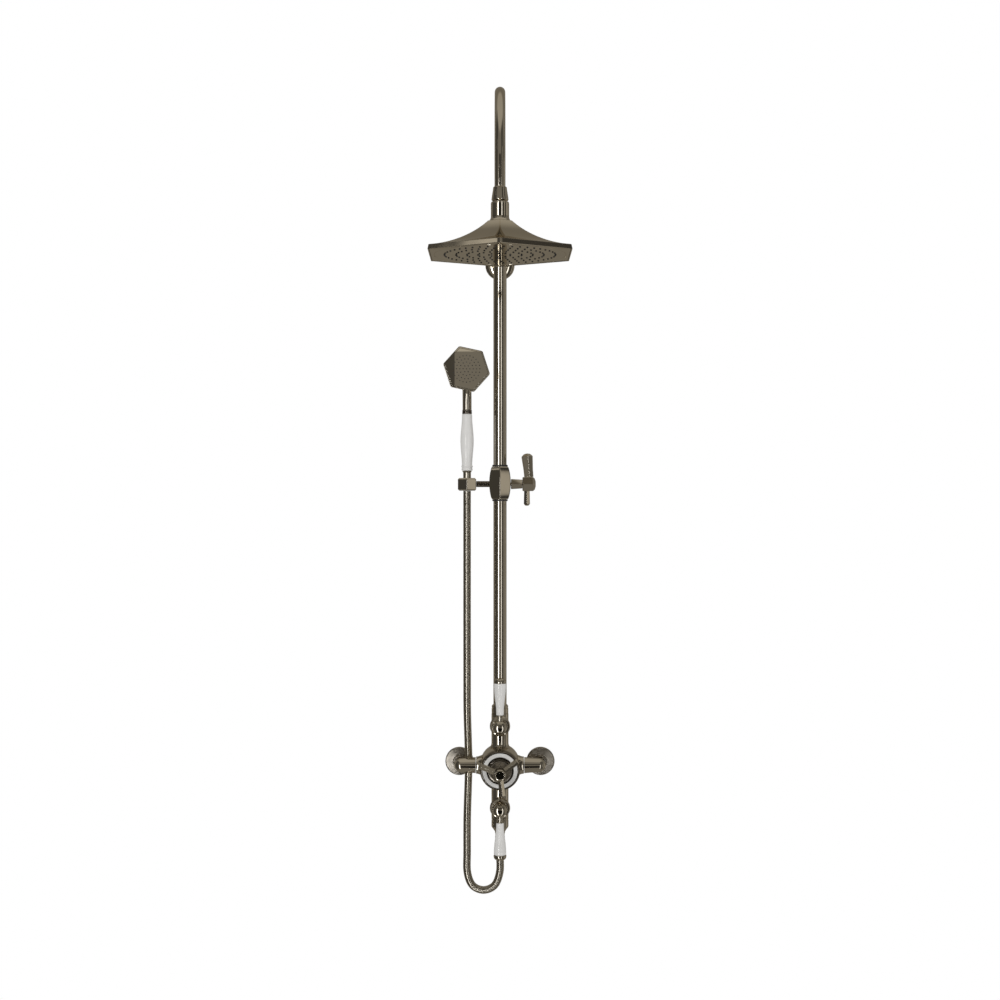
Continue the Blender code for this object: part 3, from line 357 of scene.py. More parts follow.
def united(name, first, *others, cuts=()):
    """One closed mesh from overlapping skins, less the skins in cuts."""
    base = bpy.data.objects.new(name, mesh_of(name, first))
    bpy.context.collection.objects.link(base)
    tools = []
    for operation, shapes in (("UNION", others), ("DIFFERENCE", cuts)):
        for shape in shapes:
            tool = bpy.data.objects.new(name + "_tool", mesh_of(name + "_tool", shape))
            bpy.context.collection.objects.link(tool)
            tools.append(tool)
            modifier = base.modifiers.new(operation, "BOOLEAN")
            modifier.operation = operation
            modifier.object = tool
            modifier.solver = "EXACT"
    bpy.context.view_layer.update()
    graph = bpy.context.evaluated_depsgraph_get()
    mesh = bpy.data.meshes.new_from_object(base.evaluated_get(graph))
    for obj in (base, *tools):
        bpy.data.objects.remove(obj, do_unlink=True)
    return mesh


def piece(name, shape, body, *nodes, look="polished_nickel", sharp=32):
    """Link a skin or a mesh as a piece that rides on a body and stands for CAD nodes."""
    mesh = shape if isinstance(shape, bpy.types.Mesh) else mesh_of(name, shape)
    mesh.name = name
    obj = bpy.data.objects.new(name, mesh)
    bpy.context.collection.objects.link(obj)
    mesh.materials.clear()
    mesh.materials.append(FINISHES[look])
    mesh.shade_smooth()
    mesh.set_sharp_from_angle(angle=radians(sharp))
    if body:
        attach(obj, body)
    if nodes:
        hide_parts(*nodes)
    return obj


# ---- Shaders -------------------------------------------------------------------------
class Value:
    """A shader socket. Arithmetic on it adds Math nodes."""

    def __init__(self, graph, socket):
        self.graph = graph
        self.socket = socket

    def maths(self, operation, *values):
        sockets = {"_%d" % i: value for i, value in enumerate(values)}
        return self.graph.add("Math", {"operation": operation}, **sockets)

    def __add__(self, other):
        return self.maths("ADD", self, other)

    def __radd__(self, other):
        return self.maths("ADD", other, self)

    def __sub__(self, other):
        return self.maths("SUBTRACT", self, other)

    def __rsub__(self, other):
        return self.maths("SUBTRACT", other, self)

    def __mul__(self, other):
        return self.maths("MULTIPLY", self, other)

    def __rmul__(self, other):
        return self.maths("MULTIPLY", other, self)

    def __abs__(self):
        return self.maths("ABSOLUTE", self)


class Graph:
    """A node tree that is built from one kind of call."""

    def __init__(self, tree):
        self.tree = tree
        tree.nodes.clear()

    def add(self, kind, settings=None, outlet=0, **sockets):
        """A node's outlet, from its type, its settings, and its sockets' values or links."""
        node = self.tree.nodes.new("ShaderNode" + kind)
        for key, value in (settings or {}).items():
            setattr(node, key, value)
        for key, value in sockets.items():
            place = int(key[1:]) if key[0] == "_" else key.replace("_", " ")
            socket = node.inputs[place]
            if isinstance(value, Value):
                self.tree.links.new(value.socket, socket)
            else:
                socket.default_value = value
        return Value(self, node.outputs[outlet]) if node.outputs else node

    def ramp(self, value, start, end, low=0.0, high=1.0):
        """A smooth climb from low to high while the value goes from start to end."""
        return self.add("MapRange", {"interpolation_type": "SMOOTHSTEP"}, Value=value,
                        From_Min=start, From_Max=end, To_Min=low, To_Max=high)

    def mix(self, factor, a, b):
        return self.add("Mix", {"data_type": "RGBA"}, 2, _0=factor, _6=a, _7=b)


def noise(graph, scale, detail=3.0, stretch=(1, 1, 1)):
    """Noise on Object coordinates, its scale in cells a metre."""
    place = graph.add("TexCoord", outlet=3)
    spread = graph.add("Mapping", Vector=place, Scale=stretch)
    return graph.add("TexNoise", Vector=spread, Scale=scale, Detail=detail)


def rgb(red, green, blue):
    return (red, green, blue, 1.0)


def finish(name, dark, light, rough, spread, scale, bump, depth=0.0002, metallic=0.0,
           groove_shade=None, coat=0.0, edge=(1.0, 1.0, 1.0)):
    """A finish whose colour goes from dark to light and whose roughness wanders by spread.

    bump is the strength of its fine unevenness, groove_shade the painted shade laid on where
    the piece's own groove attribute is 1, and edge the tint of a metal seen at a low angle.
    """
    material = bpy.data.materials.new(name)
    material.use_nodes = True
    graph = Graph(material.node_tree)
    broad = noise(graph, scale)
    fine = noise(graph, scale * 14, 2.0)
    colour = graph.mix(graph.ramp(broad, 0.3, 0.7), rgb(*dark), rgb(*light))
    roughness = rough + spread * graph.ramp(noise(graph, scale * 3), 0.35, 0.75)
    # Painted shade: this colour darkens the grooves, where shade would fall in them
    if groove_shade:
        groove = graph.add("Attribute", {"attribute_name": "groove"}, 2)
        colour = graph.mix(groove, colour, rgb(*groove_shade))
        roughness = roughness + 0.2 * groove
    normal = graph.add("Bump", Strength=bump, Distance=depth, Height=broad + 0.4 * fine)
    shader = graph.add("BsdfPrincipled", Base_Color=colour, Metallic=metallic,
                       Roughness=roughness, Normal=normal, Coat_Weight=coat, Coat_Roughness=0.05,
                       Specular_Tint=rgb(*edge))
    graph.add("OutputMaterial", Surface=shader)
    return material


# Dark and light colour, roughness and its spread, scale of the noise, bump and its depth
LOOKS = {
    "polished_nickel": ((0.57, 0.53, 0.455), (0.63, 0.585, 0.50), 0.05, 0.03, 9.0, 0.01, 0.00002),
    "mirror_nickel": ((0.57, 0.53, 0.455), (0.60, 0.56, 0.48), 0.004, 0.002, 9.0, 0.002, 0.00001),
    "satin_nickel": ((0.35, 0.325, 0.285), (0.40, 0.37, 0.325), 0.34, 0.08, 30.0, 0.05, 0.00005),
    # Painted dark reflection: a darker copy of the nickel, for pieces whose mirror reflection is dark
    "dark_nickel": ((0.17, 0.155, 0.135), (0.21, 0.19, 0.165), 0.16, 0.10, 20.0, 0.05, 0.00005),
    "brass": ((0.52, 0.37, 0.15), (0.62, 0.46, 0.20), 0.28, 0.12, 40.0, 0.2),
    "white_ceramic": ((0.64, 0.63, 0.61), (0.70, 0.69, 0.67), 0.16, 0.08, 30.0, 0.04, 0.00005),
    "rubber": ((0.018, 0.018, 0.017), (0.03, 0.029, 0.027), 0.5, 0.2, 90.0, 0.3),
    "black_plastic": ((0.02, 0.019, 0.018), (0.032, 0.03, 0.028), 0.34, 0.15, 70.0, 0.2),
    "hose_metal": ((0.56, 0.525, 0.455), (0.62, 0.58, 0.50), 0.06, 0.04, 25.0, 0.01, 0.00002),
}
WARM_METAL = {"metallic": 1.0, "edge": (0.88, 0.83, 0.74)}
EXTRAS = {
    "polished_nickel": WARM_METAL,
    "mirror_nickel": WARM_METAL,
    "satin_nickel": WARM_METAL,
    "dark_nickel": WARM_METAL,
    "brass": {"metallic": 1.0},
    "white_ceramic": {"coat": 0.35},
    # The hose's grooves get a painted shade
    "hose_metal": {**WARM_METAL, "groove_shade": (0.16, 0.145, 0.12)},
}
FINISHES = {name: finish(name, *look, **EXTRAS.get(name, {})) for name, look in LOOKS.items()}
# The finish given to each CAD node that stays
HIDDEN = {
    "brass": ("thermostatic_cartridge", "upper_tap_cartridge", "lower_tap_cartridge", "outlet_nipple"),
    # Painted dark reflection on the bracket base and the clamp screw
    "dark_nickel": ("wall_bracket_base", "clamp_screw"),
    "polished_nickel": ("swivel_ball",),
    "black_plastic": ("ball_seat_ring",),
    "rubber": ("clamp_pad",),
}


def dress_kept_nodes():
    """Give each CAD node that stays its finish."""
    for name, nodes in HIDDEN.items():
        for node in nodes:
            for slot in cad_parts[node].material_slots:
                slot.material = FINISHES[name]


# ---- Camera, floor and light ---------------------------------------------------------
CAMERA_LENS = 58.68
CAMERA_PLACE = (0, -3.020, -0.434)
FLOOR_Y, FLOOR_R, GROUND, FLOOR_THICK = -1.4, 1.7, -2.0, 0.01


def camera():
    data = bpy.data.cameras.new("camera")
    data.sensor_width = 36.0
    data.lens = CAMERA_LENS
    obj = bpy.data.objects.new("camera", data)
    obj.location = CAMERA_PLACE
    obj.rotation_euler = (pi / 2, 0, 0)
    bpy.context.collection.objects.link(obj)
    bpy.context.scene.camera = obj


def floor():
    """A pale disc on the ground, well under the column."""
    angle = np.linspace(0, 2 * pi, 96, endpoint=False)
    x, y = FLOOR_R * np.cos(angle), FLOOR_Y + FLOOR_R * np.sin(angle)
    rows = [np.stack((x, y, 0 * angle + z), -1) for z in (GROUND, GROUND - FLOOR_THICK)]
    obj = bpy.data.objects.new("floor", mesh_of("floor", skin(np.array(rows))))
    bpy.context.collection.objects.link(obj)
    pale = finish("pale_floor", (0.78, 0.78, 0.77), (0.82, 0.82, 0.81), 0.6, 0.1, 6.0, 0.05)
    obj.data.materials.append(pale)
    obj.visible_glossy = False


def studio():
    """A soft white room, whose shiny reflections see two upright strip lights and dark flags."""
    world = bpy.data.worlds.new("studio")
    world.use_nodes = True
    bpy.context.scene.world = world
    world.cycles.sampling_method = "NONE"
    bpy.context.scene.view_settings.view_transform = "Standard"
    graph = Graph(world.node_tree)
    direction = graph.add("TexCoord", outlet=0)
    split = graph.add("SeparateXYZ", Vector=direction)
    nodes = split.socket.node.outputs
    x, y, z = (Value(graph, nodes[k]) for k in range(3))
    degree = 180 / pi
    azimuth = degree * x.maths("ARCTAN2", x, 0 - y)
    height = degree * z.maths("ARCSINE", z)

    def patch(azimuth_at, half, soft, height_at, half_tall, soft_tall):
        """1 in a rectangle of directions in degrees, falling to 0 over its soft edges."""
        tall = graph.ramp(abs(height - height_at), half_tall + soft_tall, half_tall)
        return graph.ramp(abs(azimuth - azimuth_at), half + soft, half) * tall

    room = 0.215 + 0.22 * graph.ramp(height, 46.0, 60.0)
    # Pale walls at the right
    room = room + 0.30 * patch(59.2, 3.2, 1.0, 0.0, 26.0, 3.0)
    room = room + 0.12 * patch(98.0, 14.0, 6.0, -8.0, 20.0, 4.0)
    # A dark flag at the left, with a narrow light above
    room = room * (1 - 0.68 * patch(-78.0, 26.0, 7.0, 0.0, 50.0, 12.0))
    room = room + 0.55 * patch(-64.9, 0.95, 0.12, 29.0, 4.0, 1.5)
    # Two dark flags at the right
    room = room * (1 - 0.75 * patch(43.0, 9.0, 4.0, 0.0, 50.0, 12.0))
    room = room * (1 - 0.75 * patch(72.0, 8.0, 3.0, 0.0, 50.0, 12.0))
    # Dark above and below, straight in front
    room = room * (1 - 0.97 * patch(0.0, 19.0, 3.0, -20.5, 13.5, 1.0))
    room = room * (1 - 0.75 * patch(0.0, 19.0, 3.0, 15.5, 6.5, 1.0))
    # What the hand shower's flat face mirrors: a window with a dark side and a light top
    window = patch(-1.3, 1.5, 0.3, 4.9, 1.5, 0.3)
    room = room * (1 - 0.75 * patch(0.0, 4.5, 1.5, 2.0, 9.0, 1.0) * (1 - window))
    room = (room + 0.03 * window) * (1 - 0.66 * patch(-2.2, 0.59, 0.03, 4.3, 0.95, 0.1))
    room = room + 0.34 * patch(-1.2, 1.3, 0.1, 5.8, 0.58, 0.03)
    left_strip = 7.5 * patch(-24.0, 2.2, 1.6, -22.0, 32.7, 0.5)
    strips = left_strip + 2.3 * patch(24.0, 2.0, 1.6, -22.0, 32.7, 0.5)
    path = graph.add("LightPath")
    outlets = path.socket.node.outputs
    seen, shiny = Value(graph, outlets["Is Camera Ray"]), Value(graph, outlets["Is Glossy Ray"])
    white = shiny * strips + (1 - shiny) * (seen + (1 - seen) * 0.66)
    warm = graph.add("Background", Color=rgb(1.0, 0.925, 0.79), Strength=shiny * room)
    cool = graph.add("Background", Color=rgb(1.0, 1.0, 1.0), Strength=white)
    shader = graph.add("AddShader", _0=warm, _1=cool)
    graph.add("OutputWorld", Surface=shader)


def soft_light(name, place, target, size, watts):
    """A soft area light that shiny pieces don't mirror."""
    data = bpy.data.lights.new(name, "AREA")
    data.shape = "DISK"
    data.size = size
    data.energy = watts
    obj = bpy.data.objects.new(name, data)
    obj.location = place
    obj.rotation_euler = (Vector(target) - Vector(place)).to_track_quat("-Z", "Y").to_euler()
    obj.visible_glossy = False
    obj.visible_camera = False
    bpy.context.collection.objects.link(obj)


# ---- Hose ----------------------------------------------------------------------------
RIB_STEPS = 6               # rings of points in one pitch
RIB_DIP = (1.0, 0.25, 0.0, 0.0, 0.0, 0.25)
HOSE_SIDES = 16


def hose_length(name, node, route):
    """A ribbed tube: its radius dips into a narrow groove once a pitch."""
    path = smooth_route(route, HOSE_PITCH / RIB_STEPS)
    dip = np.array(RIB_DIP)[np.arange(len(path)) % RIB_STEPS]
    tube = along(path, HOSE_R - HOSE_GROOVE * dip, HOSE_SIDES)
    obj = piece(name, tube, None, node, look="hose_metal", sharp=60)
    # The groove attribute marks where the finish paints shade into the grooves
    groove = obj.data.attributes.new("groove", "FLOAT", "POINT")
    groove.data.foreach_set("value", np.append(np.repeat(dip, HOSE_SIDES), (0.0, 0.0)))
    return obj, path


def hose():
    """One hose in three lengths, split at the heights where it crosses a joint."""
    main = [p for p in HOSE_ROUTE if p[2] <= HOSE_CUT_SLIDER]
    upper = [p for p in HOSE_ROUTE if HOSE_CUT_SLIDER <= p[2] <= HOSE_CUT_HOLDER]
    tip = [p for p in HOSE_ROUTE if p[2] >= HOSE_CUT_HOLDER]
    line, path = hose_length("hose_run", "hose", main)
    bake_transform(line)
    short, _ = hose_length("hose_bridge", "hose_upper", upper)
    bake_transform(short)
    last, _ = hose_length("hose_end_run", "hose_tip", tip)
    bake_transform(last)


# ---- Bracket, riser and gooseneck ----------------------------------------------------
PIPE_WALL = 0.0015


def wall_bracket():
    deep = outs("wall_bracket_flange")[1]
    rim = width("wall_bracket_flange", "x") / 2
    back, bore, hollow = 0.0043, 0.0083, rim - 0.0057
    dome = bezier((rim - 0.0135, deep - 0.0002), (rim - 0.006, deep - 0.0012),
                  (rim - 0.001, deep - 0.004), (rim, 0.0035))
    cover = ring([(bore, deep), *dome, (rim, 0), (hollow, 0), (hollow, back), (bore, back)],
                 FRONT, fillet=FILLET)
    piece("bracket_cover", cover, "root", "wall_bracket_flange")
    ring_r, half = width("wall_bracket_post", "x") / 2, width("wall_bracket_post", "z") / 2
    post_r = 0.008
    post = rod(post_r, back, PIPE_OUT - 0.002, FRONT)
    foot, top = PIPE_OUT - ring_r - 0.006, PIPE_OUT - ring_r + 0.004
    flare = eased((post_r, foot), (post_r + 0.004, top))
    collar = turned([*flare, (0, top), (0, foot)], FRONT)
    hoop = rod(ring_r, -half, half, UP, at(0, PIPE_OUT), 0.0012)
    bore_cut = rod(RISER_R + GAP, -2 * half, 2 * half, UP, at(0, PIPE_OUT))
    stud_cut = rod(0.0053, -0.001, 0.0143, FRONT)
    piece("bracket_post", united("bracket_post", post, collar, hoop, cuts=(bore_cut, stud_cut)),
          "root", "wall_bracket_post")


def riser():
    low, high = ends("riser_pipe", "z")
    axis = at(0, PIPE_OUT)
    piece("riser", band(RISER_R, RISER_R - PIPE_WALL, low, high, UP, axis, FINE, 96),
          "root", "riser_pipe")
    shoulder = high + GAP
    low, high, nut_r = upright_round("gooseneck_union_nut")
    bore, socket = NECK_R + GAP, RISER_R + GAP
    piece("gooseneck_union", ring(
        [(bore, high), (bore + 0.0017, high), (nut_r - 0.003, high - 0.005),
         (nut_r - 0.0026, high - 0.007), (nut_r, high - 0.008), (nut_r, low), (socket, low),
         (socket, shoulder), (bore, shoulder)], UP, axis, FILLET), "root", "gooseneck_union_nut")


def gooseneck():
    """A pipe up, over in half a circle, and down to the head."""
    start = ends("gooseneck_pipe", "z")[0]
    end = ends("gooseneck_end_nut", "z")[1] - 0.007
    reach = (HEAD_OUT - PIPE_OUT) / 2
    arc_z = ends("gooseneck_pipe", "z")[1] - NECK_R - reach
    angle = np.linspace(0, pi, 120)
    arc_y = -(PIPE_OUT + reach * (1 - np.cos(angle)))
    arc = np.stack((0 * angle, arc_y, arc_z + reach * np.sin(angle)), -1)
    path = np.vstack((at(0, PIPE_OUT, start), at(0, PIPE_OUT, start + 0.0005), arc,
                      at(0, HEAD_OUT, end + 0.0005), at(0, HEAD_OUT, end)))
    outside = along(path, NECK_R, 56, (1, 0, 0))
    inside = along(path, NECK_R - PIPE_WALL, 28, (1, 0, 0))
    pipe = together(outside, (inside[0], inside[1][:, ::-1], inside[2][:, ::-1]))
    piece("gooseneck", pipe, "root", "gooseneck_pipe")
    low, high, foot_r = upright_round("gooseneck_end_nut")
    top_r, bore = NECK_R + 0.00225, NECK_R + GAP
    side = bezier((top_r, high - 0.0012), (top_r + 0.0006, high - 0.008),
                  (foot_r - 0.0008, low + 0.009), (foot_r, low + 0.0012))
    nut = ring([(bore, high), (NECK_R + 0.0010, high), *side, (foot_r - 0.0004, low),
                (bore, low)], UP, at(0, HEAD_OUT), 0.0004)
    piece("gooseneck_end", nut, "root", "gooseneck_end_nut")


# ---- Rain head -----------------------------------------------------------------------
NOZZLE_RINGS = ((0.091, 44), (0.072, 35), (0.054, 26), (0.036, 17), (0.018, 9))
NOZZLE_R, NOZZLE_RISE = 0.0018, 0.0014


def rain_head():
    axis = at(0, HEAD_OUT)
    low, high, nut_r = upright_round("head_swivel_nut")
    lip, socket = 0.0078, 0.0123
    piece("swivel_nut", ring(
        [(lip, high), (nut_r - 0.0010, high), (nut_r - 0.0004, high - 0.0008),
         (nut_r - 0.0004, high - 0.0020), (nut_r, high - 0.0026), (nut_r, low), (socket, low),
         (socket, high - 0.004), (lip, high - 0.004)], UP, axis), "rain_head", "head_swivel_nut")
    low, high, foot_r = upright_round("head_collar")
    bore = 0.007
    flare = bezier((nut_r, high), (nut_r + 0.0003, high - 0.004), (foot_r - 0.002, low + 0.002),
                   (foot_r, low), 8)
    piece("bell_collar", ring([(bore, high), *flare, (bore, low)], UP, axis),
          "rain_head", "head_collar")
    low, high = ends("head_bell", "z")
    half = width("head_bell", "y") / 2 / HEX
    wall, rim = 0.002, low + 0.008
    top_half, lean = 0.0195, 0.0017
    flare = bezier((top_half, high), (top_half + 0.0145, 0.007), (half - 0.048, rim + 0.007),
                   (half - lean, rim), 36)
    inner = half - wall
    outside = [(bore, high), *flare, (half, low), (inner, low), (inner, rim - wall)]
    inside = [(w, z - wall) for w, z in flare[::-1][1:]]
    piece("head_shell", six_sided([*outside, *inside, (bore, high - wall)], UP, axis,
                                  FILLET, 0.0007, loop=True), "rain_head", "head_bell")
    spray_plate(axis)


def spray_plate(axis):
    """The six-sided plate under the bell, with its engraved ring and its soft nozzles.

    A row's distance from the axis goes from a circle's to a hexagon's as s goes from 0
    to 1: (1 - s) w + s w / cos(a), where a is the angle from the nearest flat's middle.
    """
    low, high = ends("head_face_plate", "z")
    half = width("head_face_plate", "y") / 2 / HEX
    groove_r, cut = 0.108, low + 0.0005
    rows = ((0.001, low, 0), (groove_r - 0.0007, low, 0), (groove_r - 0.0004, cut, 0),
            (groove_r + 0.0004, cut, 0), (groove_r + 0.0007, low, 0),
            (groove_r + 0.0012, low, 0), (half - 0.0012, low, 1),
            (half - 0.0004, low + 0.0002, 1), (half, low + 0.0008, 1), (half, high, 1),
            (half - 0.001, high, 1), (0.001, high, 0))
    angle = np.linspace(0, 2 * pi, 360, endpoint=False)
    bulge = 1 / np.cos(angle % (pi / 3) - pi / 6)
    reach, height, hexness = np.array(rows).T[:, :, None]
    away = reach * ((1 - hexness) + hexness * bulge)
    spin = angle + pi / 6
    x, y = away * np.cos(spin), away * np.sin(spin)
    spread = np.stack(np.broadcast_arrays(x, y, height), -1)
    piece("spray_plate", skin(placed(spread, UP, axis)), "rain_head", "head_face_plate",
          sharp=25)
    centres = [axis + at(0, 0, low)]
    for ring_r, count in NOZZLE_RINGS:
        around = 2 * pi * (np.arange(count) + 0.5) / count
        x, y = ring_r * np.cos(around), ring_r * np.sin(around) - HEAD_OUT
        centres.extend(np.stack((x, y, low + 0 * around), -1))
    mat_low, mat_high = ends("head_nozzle_mat", "z")
    mat = rod(width("head_nozzle_mat", "x") / 2, mat_low, mat_high, UP, axis)
    nozzles = together(mat, domes(centres, NOZZLE_R, NOZZLE_RISE))
    piece("spray_nozzles", nozzles, "rain_head", "head_nozzle_mat", look="rubber")


# ---- Valve ---------------------------------------------------------------------------
def valve():
    """The cast body: a drum with two upright and two level branches that flare into it."""
    back = outs("valve_body")[0]
    half_tall, arm_end = width("valve_body", "z") / 2, width("valve_body", "x") / 2
    body_r, tube_r = width("valve_bonnet", "x") / 2, width("hose_nut", "x") / 2
    arm_r, shoulder, drum_front = 0.0155, 0.004, 0.100
    centre, core = at(0, 0, VALVE_Z), at(0, PIPE_OUT, VALVE_Z)
    drum = turned([(body_r, drum_front), (body_r, back + 0.006), (body_r - 0.006, back)],
                  FRONT, centre, 0.003, 96)
    side = eased((tube_r, 0.041), (tube_r + shoulder, 0.027), 18)
    upright = turned([(tube_r, half_tall), *side, *(side * (1, -1))[::-1],
                      (tube_r, -half_tall)], UP, core, FILLET, 96)
    side = eased((arm_r, 0.0435), (arm_r + shoulder, 0.027), 16)
    arms = turned([(0, arm_end), *side, *(side * (1, -1))[::-1], (0, -arm_end)],
                  RIGHT, core, FILLET, 96)
    shapes = [upright, arms]
    cuts = [rod(0.0168, 0.0617, 0.110, FRONT, centre),
            rod(RISER_R + GAP, half_tall - 0.0126, half_tall + 0.01, UP, core),
            rod(0.0093, -half_tall - 0.01, -half_tall + 0.012, UP, core)]
    for z in (UPPER_TAP_Z, LOWER_TAP_Z):
        boss = eased((0.0150, 0.068), (0.0165, 0.052), 8)
        shapes.append(turned(boss, FRONT, at(0, 0, z)))
        cuts.append(rod(0.0088, 0.0637, 0.08, FRONT, at(0, 0, z)))
    piece("valve_casting", united("valve_casting", drum, *shapes, cuts=cuts),
          "root", "valve_body", sharp=40)


def bonnet():
    """The ring in front of the drum, with a white glazed index ring let into its face."""
    centre = at(0, 0, VALVE_Z)
    back, front = outs("valve_bonnet")
    foot_r = width("valve_bonnet", "x") / 2
    bore, seat, sunk = 0.0223, 0.0185, front - 0.0010
    rim = bezier((foot_r, back + 0.004), (foot_r, back + 0.010), (foot_r - 0.001, front),
                 (0.0322, front), 10)
    # The bonnet ring's nickel is painted dark, a painted dark reflection
    piece("bonnet_ring", ring(
        [(bore, sunk), (bore + 0.0010, front - 0.0002), (bore + 0.0020, sunk), (0.0313, sunk),
         (0.0316, front), *rim[::-1], (foot_r, back), (seat, back), (seat, back + 0.003),
         (bore, back + 0.003)], FRONT, centre, FINE, 96),
        "root", "valve_bonnet", look="dark_nickel", sharp=24)
    glaze = band(0.0312, 0.0245, front - 0.0011, front - 0.0003, FRONT, centre, FINE, 96)
    piece("index_ring", glaze, "root", look="white_ceramic")


def riser_nut():
    low, high, outer = upright_round("riser_nut")
    bore = RISER_R + GAP
    piece("riser_gland", ring(
        [(bore, high), (outer - 0.0016, high), (outer - 0.0002, high - 0.0022),
         (outer - 0.0002, high - 0.0045), (outer - 0.0008, high - 0.005),
         (outer - 0.0008, high - 0.0056), (outer, high - 0.0062), (outer, low + 0.0006),
         (outer - 0.0005, low), (bore, low)], UP, at(0, PIPE_OUT)), "root", "riser_nut")


def inlet(side, turn):
    """A tapered arm that ends in a dome, with its pipe to the wall and its flange."""
    node, flange = side + "_inlet_elbow", side + "_wall_flange"
    near, far = sorted(abs(x) for x in ends(node, "x"))
    x = middle(flange, "x")
    axis, level = at(x, 0, VALVE_Z), at(0, PIPE_OUT, VALVE_Z)
    start_r, end_r, pipe_r, water_r = 0.0146, 0.0128, 0.008, 0.0055
    dome = np.radians(np.linspace(88, 0, 14))
    tip = np.stack((end_r * np.cos(dome), far - end_r + end_r * np.sin(dome)), -1)
    taper = bezier(tip[-1], (end_r + 0.0004, far - end_r - 0.006),
                   (start_r - 0.0009, near + 0.008), (start_r, near), 8)
    arm = turned([*tip, *taper[1:]], turn, level, FINE, 80)
    pipe = rod(pipe_r, 0.0008, PIPE_OUT, FRONT, axis)
    bores = (rod(water_r, -0.01, PIPE_OUT, FRONT, axis),
             rod(water_r, near - 0.01, abs(x), turn, level))
    piece(side + "_inlet", united(side + "_inlet", arm, pipe, cuts=bores), "root", node,
          sharp=40)
    deep, rim = outs(flange)[1], width(flange, "x") / 2
    bore = pipe_r + GAP
    cover = ring([(bore, deep), (bore + 0.0025, deep), (bore + 0.0035, deep - 0.0035),
                  (rim - 0.0016, 0.0050), (rim, 0.0036), (rim, 0), (bore, 0)],
                 FRONT, axis, FILLET)
    piece(side + "_flange", cover, "root", flange, look="satin_nickel")


def hose_outlet():
    axis = at(0, PIPE_OUT)
    low, high, outer = upright_round("hose_nut")
    bore, seat = 0.006, 0.0093
    ledge = ends("outlet_nipple", "z")[0] - GAP
    taper = bezier((outer, high - 0.0165), (outer - 0.001, high - 0.019), (0.0115, low + 0.003),
                   (0.0100, low), 6)
    piece("hose_gland", ring(
        [(seat, high), (outer - 0.0008, high), (outer, high - 0.0008), (outer, high - 0.003),
         (outer - 0.0006, high - 0.0035), (outer - 0.0006, high - 0.0045), (outer, high - 0.005),
         *taper, (bore, low), (bore, ledge), (seat, ledge)], UP, axis), "root", "hose_nut")
    low, high, outer = upright_round("hose_crimp")
    bore, waist = 0.0055, outer - 0.0007
    piece("hose_ferrule", ring(
        [(bore, high), (outer, high), (outer, high - 0.003), (waist, high - 0.0036),
         (waist, low + 0.0036), (outer - 0.0002, low + 0.003), (outer - 0.0005, low),
         (bore, low)], UP, axis), "root", "hose_crimp")


# ---- Handles -------------------------------------------------------------------------
FIRST_SPOKE = 37            # degrees above level


def temperature_handle():
    body, centre = "temperature_handle", at(0, 0, VALVE_Z)
    back, front = outs("temperature_hub")
    skirt = width("temperature_hub", "x") / 2
    barrel, dome_r, bore, depth = 0.0105, 0.019, 0.00535, 0.1283
    mouth = back + 0.004
    dome = bezier((barrel, 0.140), (barrel + 0.002, 0.130), (dome_r, 0.130),
                  (dome_r, mouth + 0.003), 14)
    hub = turned([(barrel, front), *dome, (dome_r + 0.0003, mouth + 0.0018),
                  (skirt, mouth + 0.0012), (skirt, back), (bore, back), (bore, depth)],
                 FRONT, centre, 0.0005)
    # The hub's nickel is painted dark, a painted dark reflection
    piece("handle_hub", hub, body, "temperature_hub", look="dark_nickel")
    back, front = outs("hub_cap")
    cap_r = width("hub_cap", "x") / 2
    cap = turned([(0, front - 0.0008), (cap_r * 0.72, front - 0.0006), (cap_r * 0.78, front),
                  (cap_r - 0.001, front - 0.0004), (cap_r, front - 0.0016), (cap_r, back),
                  (0, back)], FRONT, centre, FINE)
    piece("handle_cap", cap, body, "hub_cap")
    spokes = at(0, -middle("temperature_spoke_1", "y"), VALVE_Z)
    start, end, half = 0.0108, 0.039, 0.0058 / HEX
    profile = [(half - 0.0008, end), (half, end - 0.0010), (half, start)]
    for number in range(3):
        turn = about_y(pi / 2 - radians(FIRST_SPOKE + 120 * number))
        piece("handle_spoke_%d" % (number + 1), six_sided(profile, turn, spokes, FINE, 0.0004),
              body, "temperature_spoke_%d" % (number + 1))


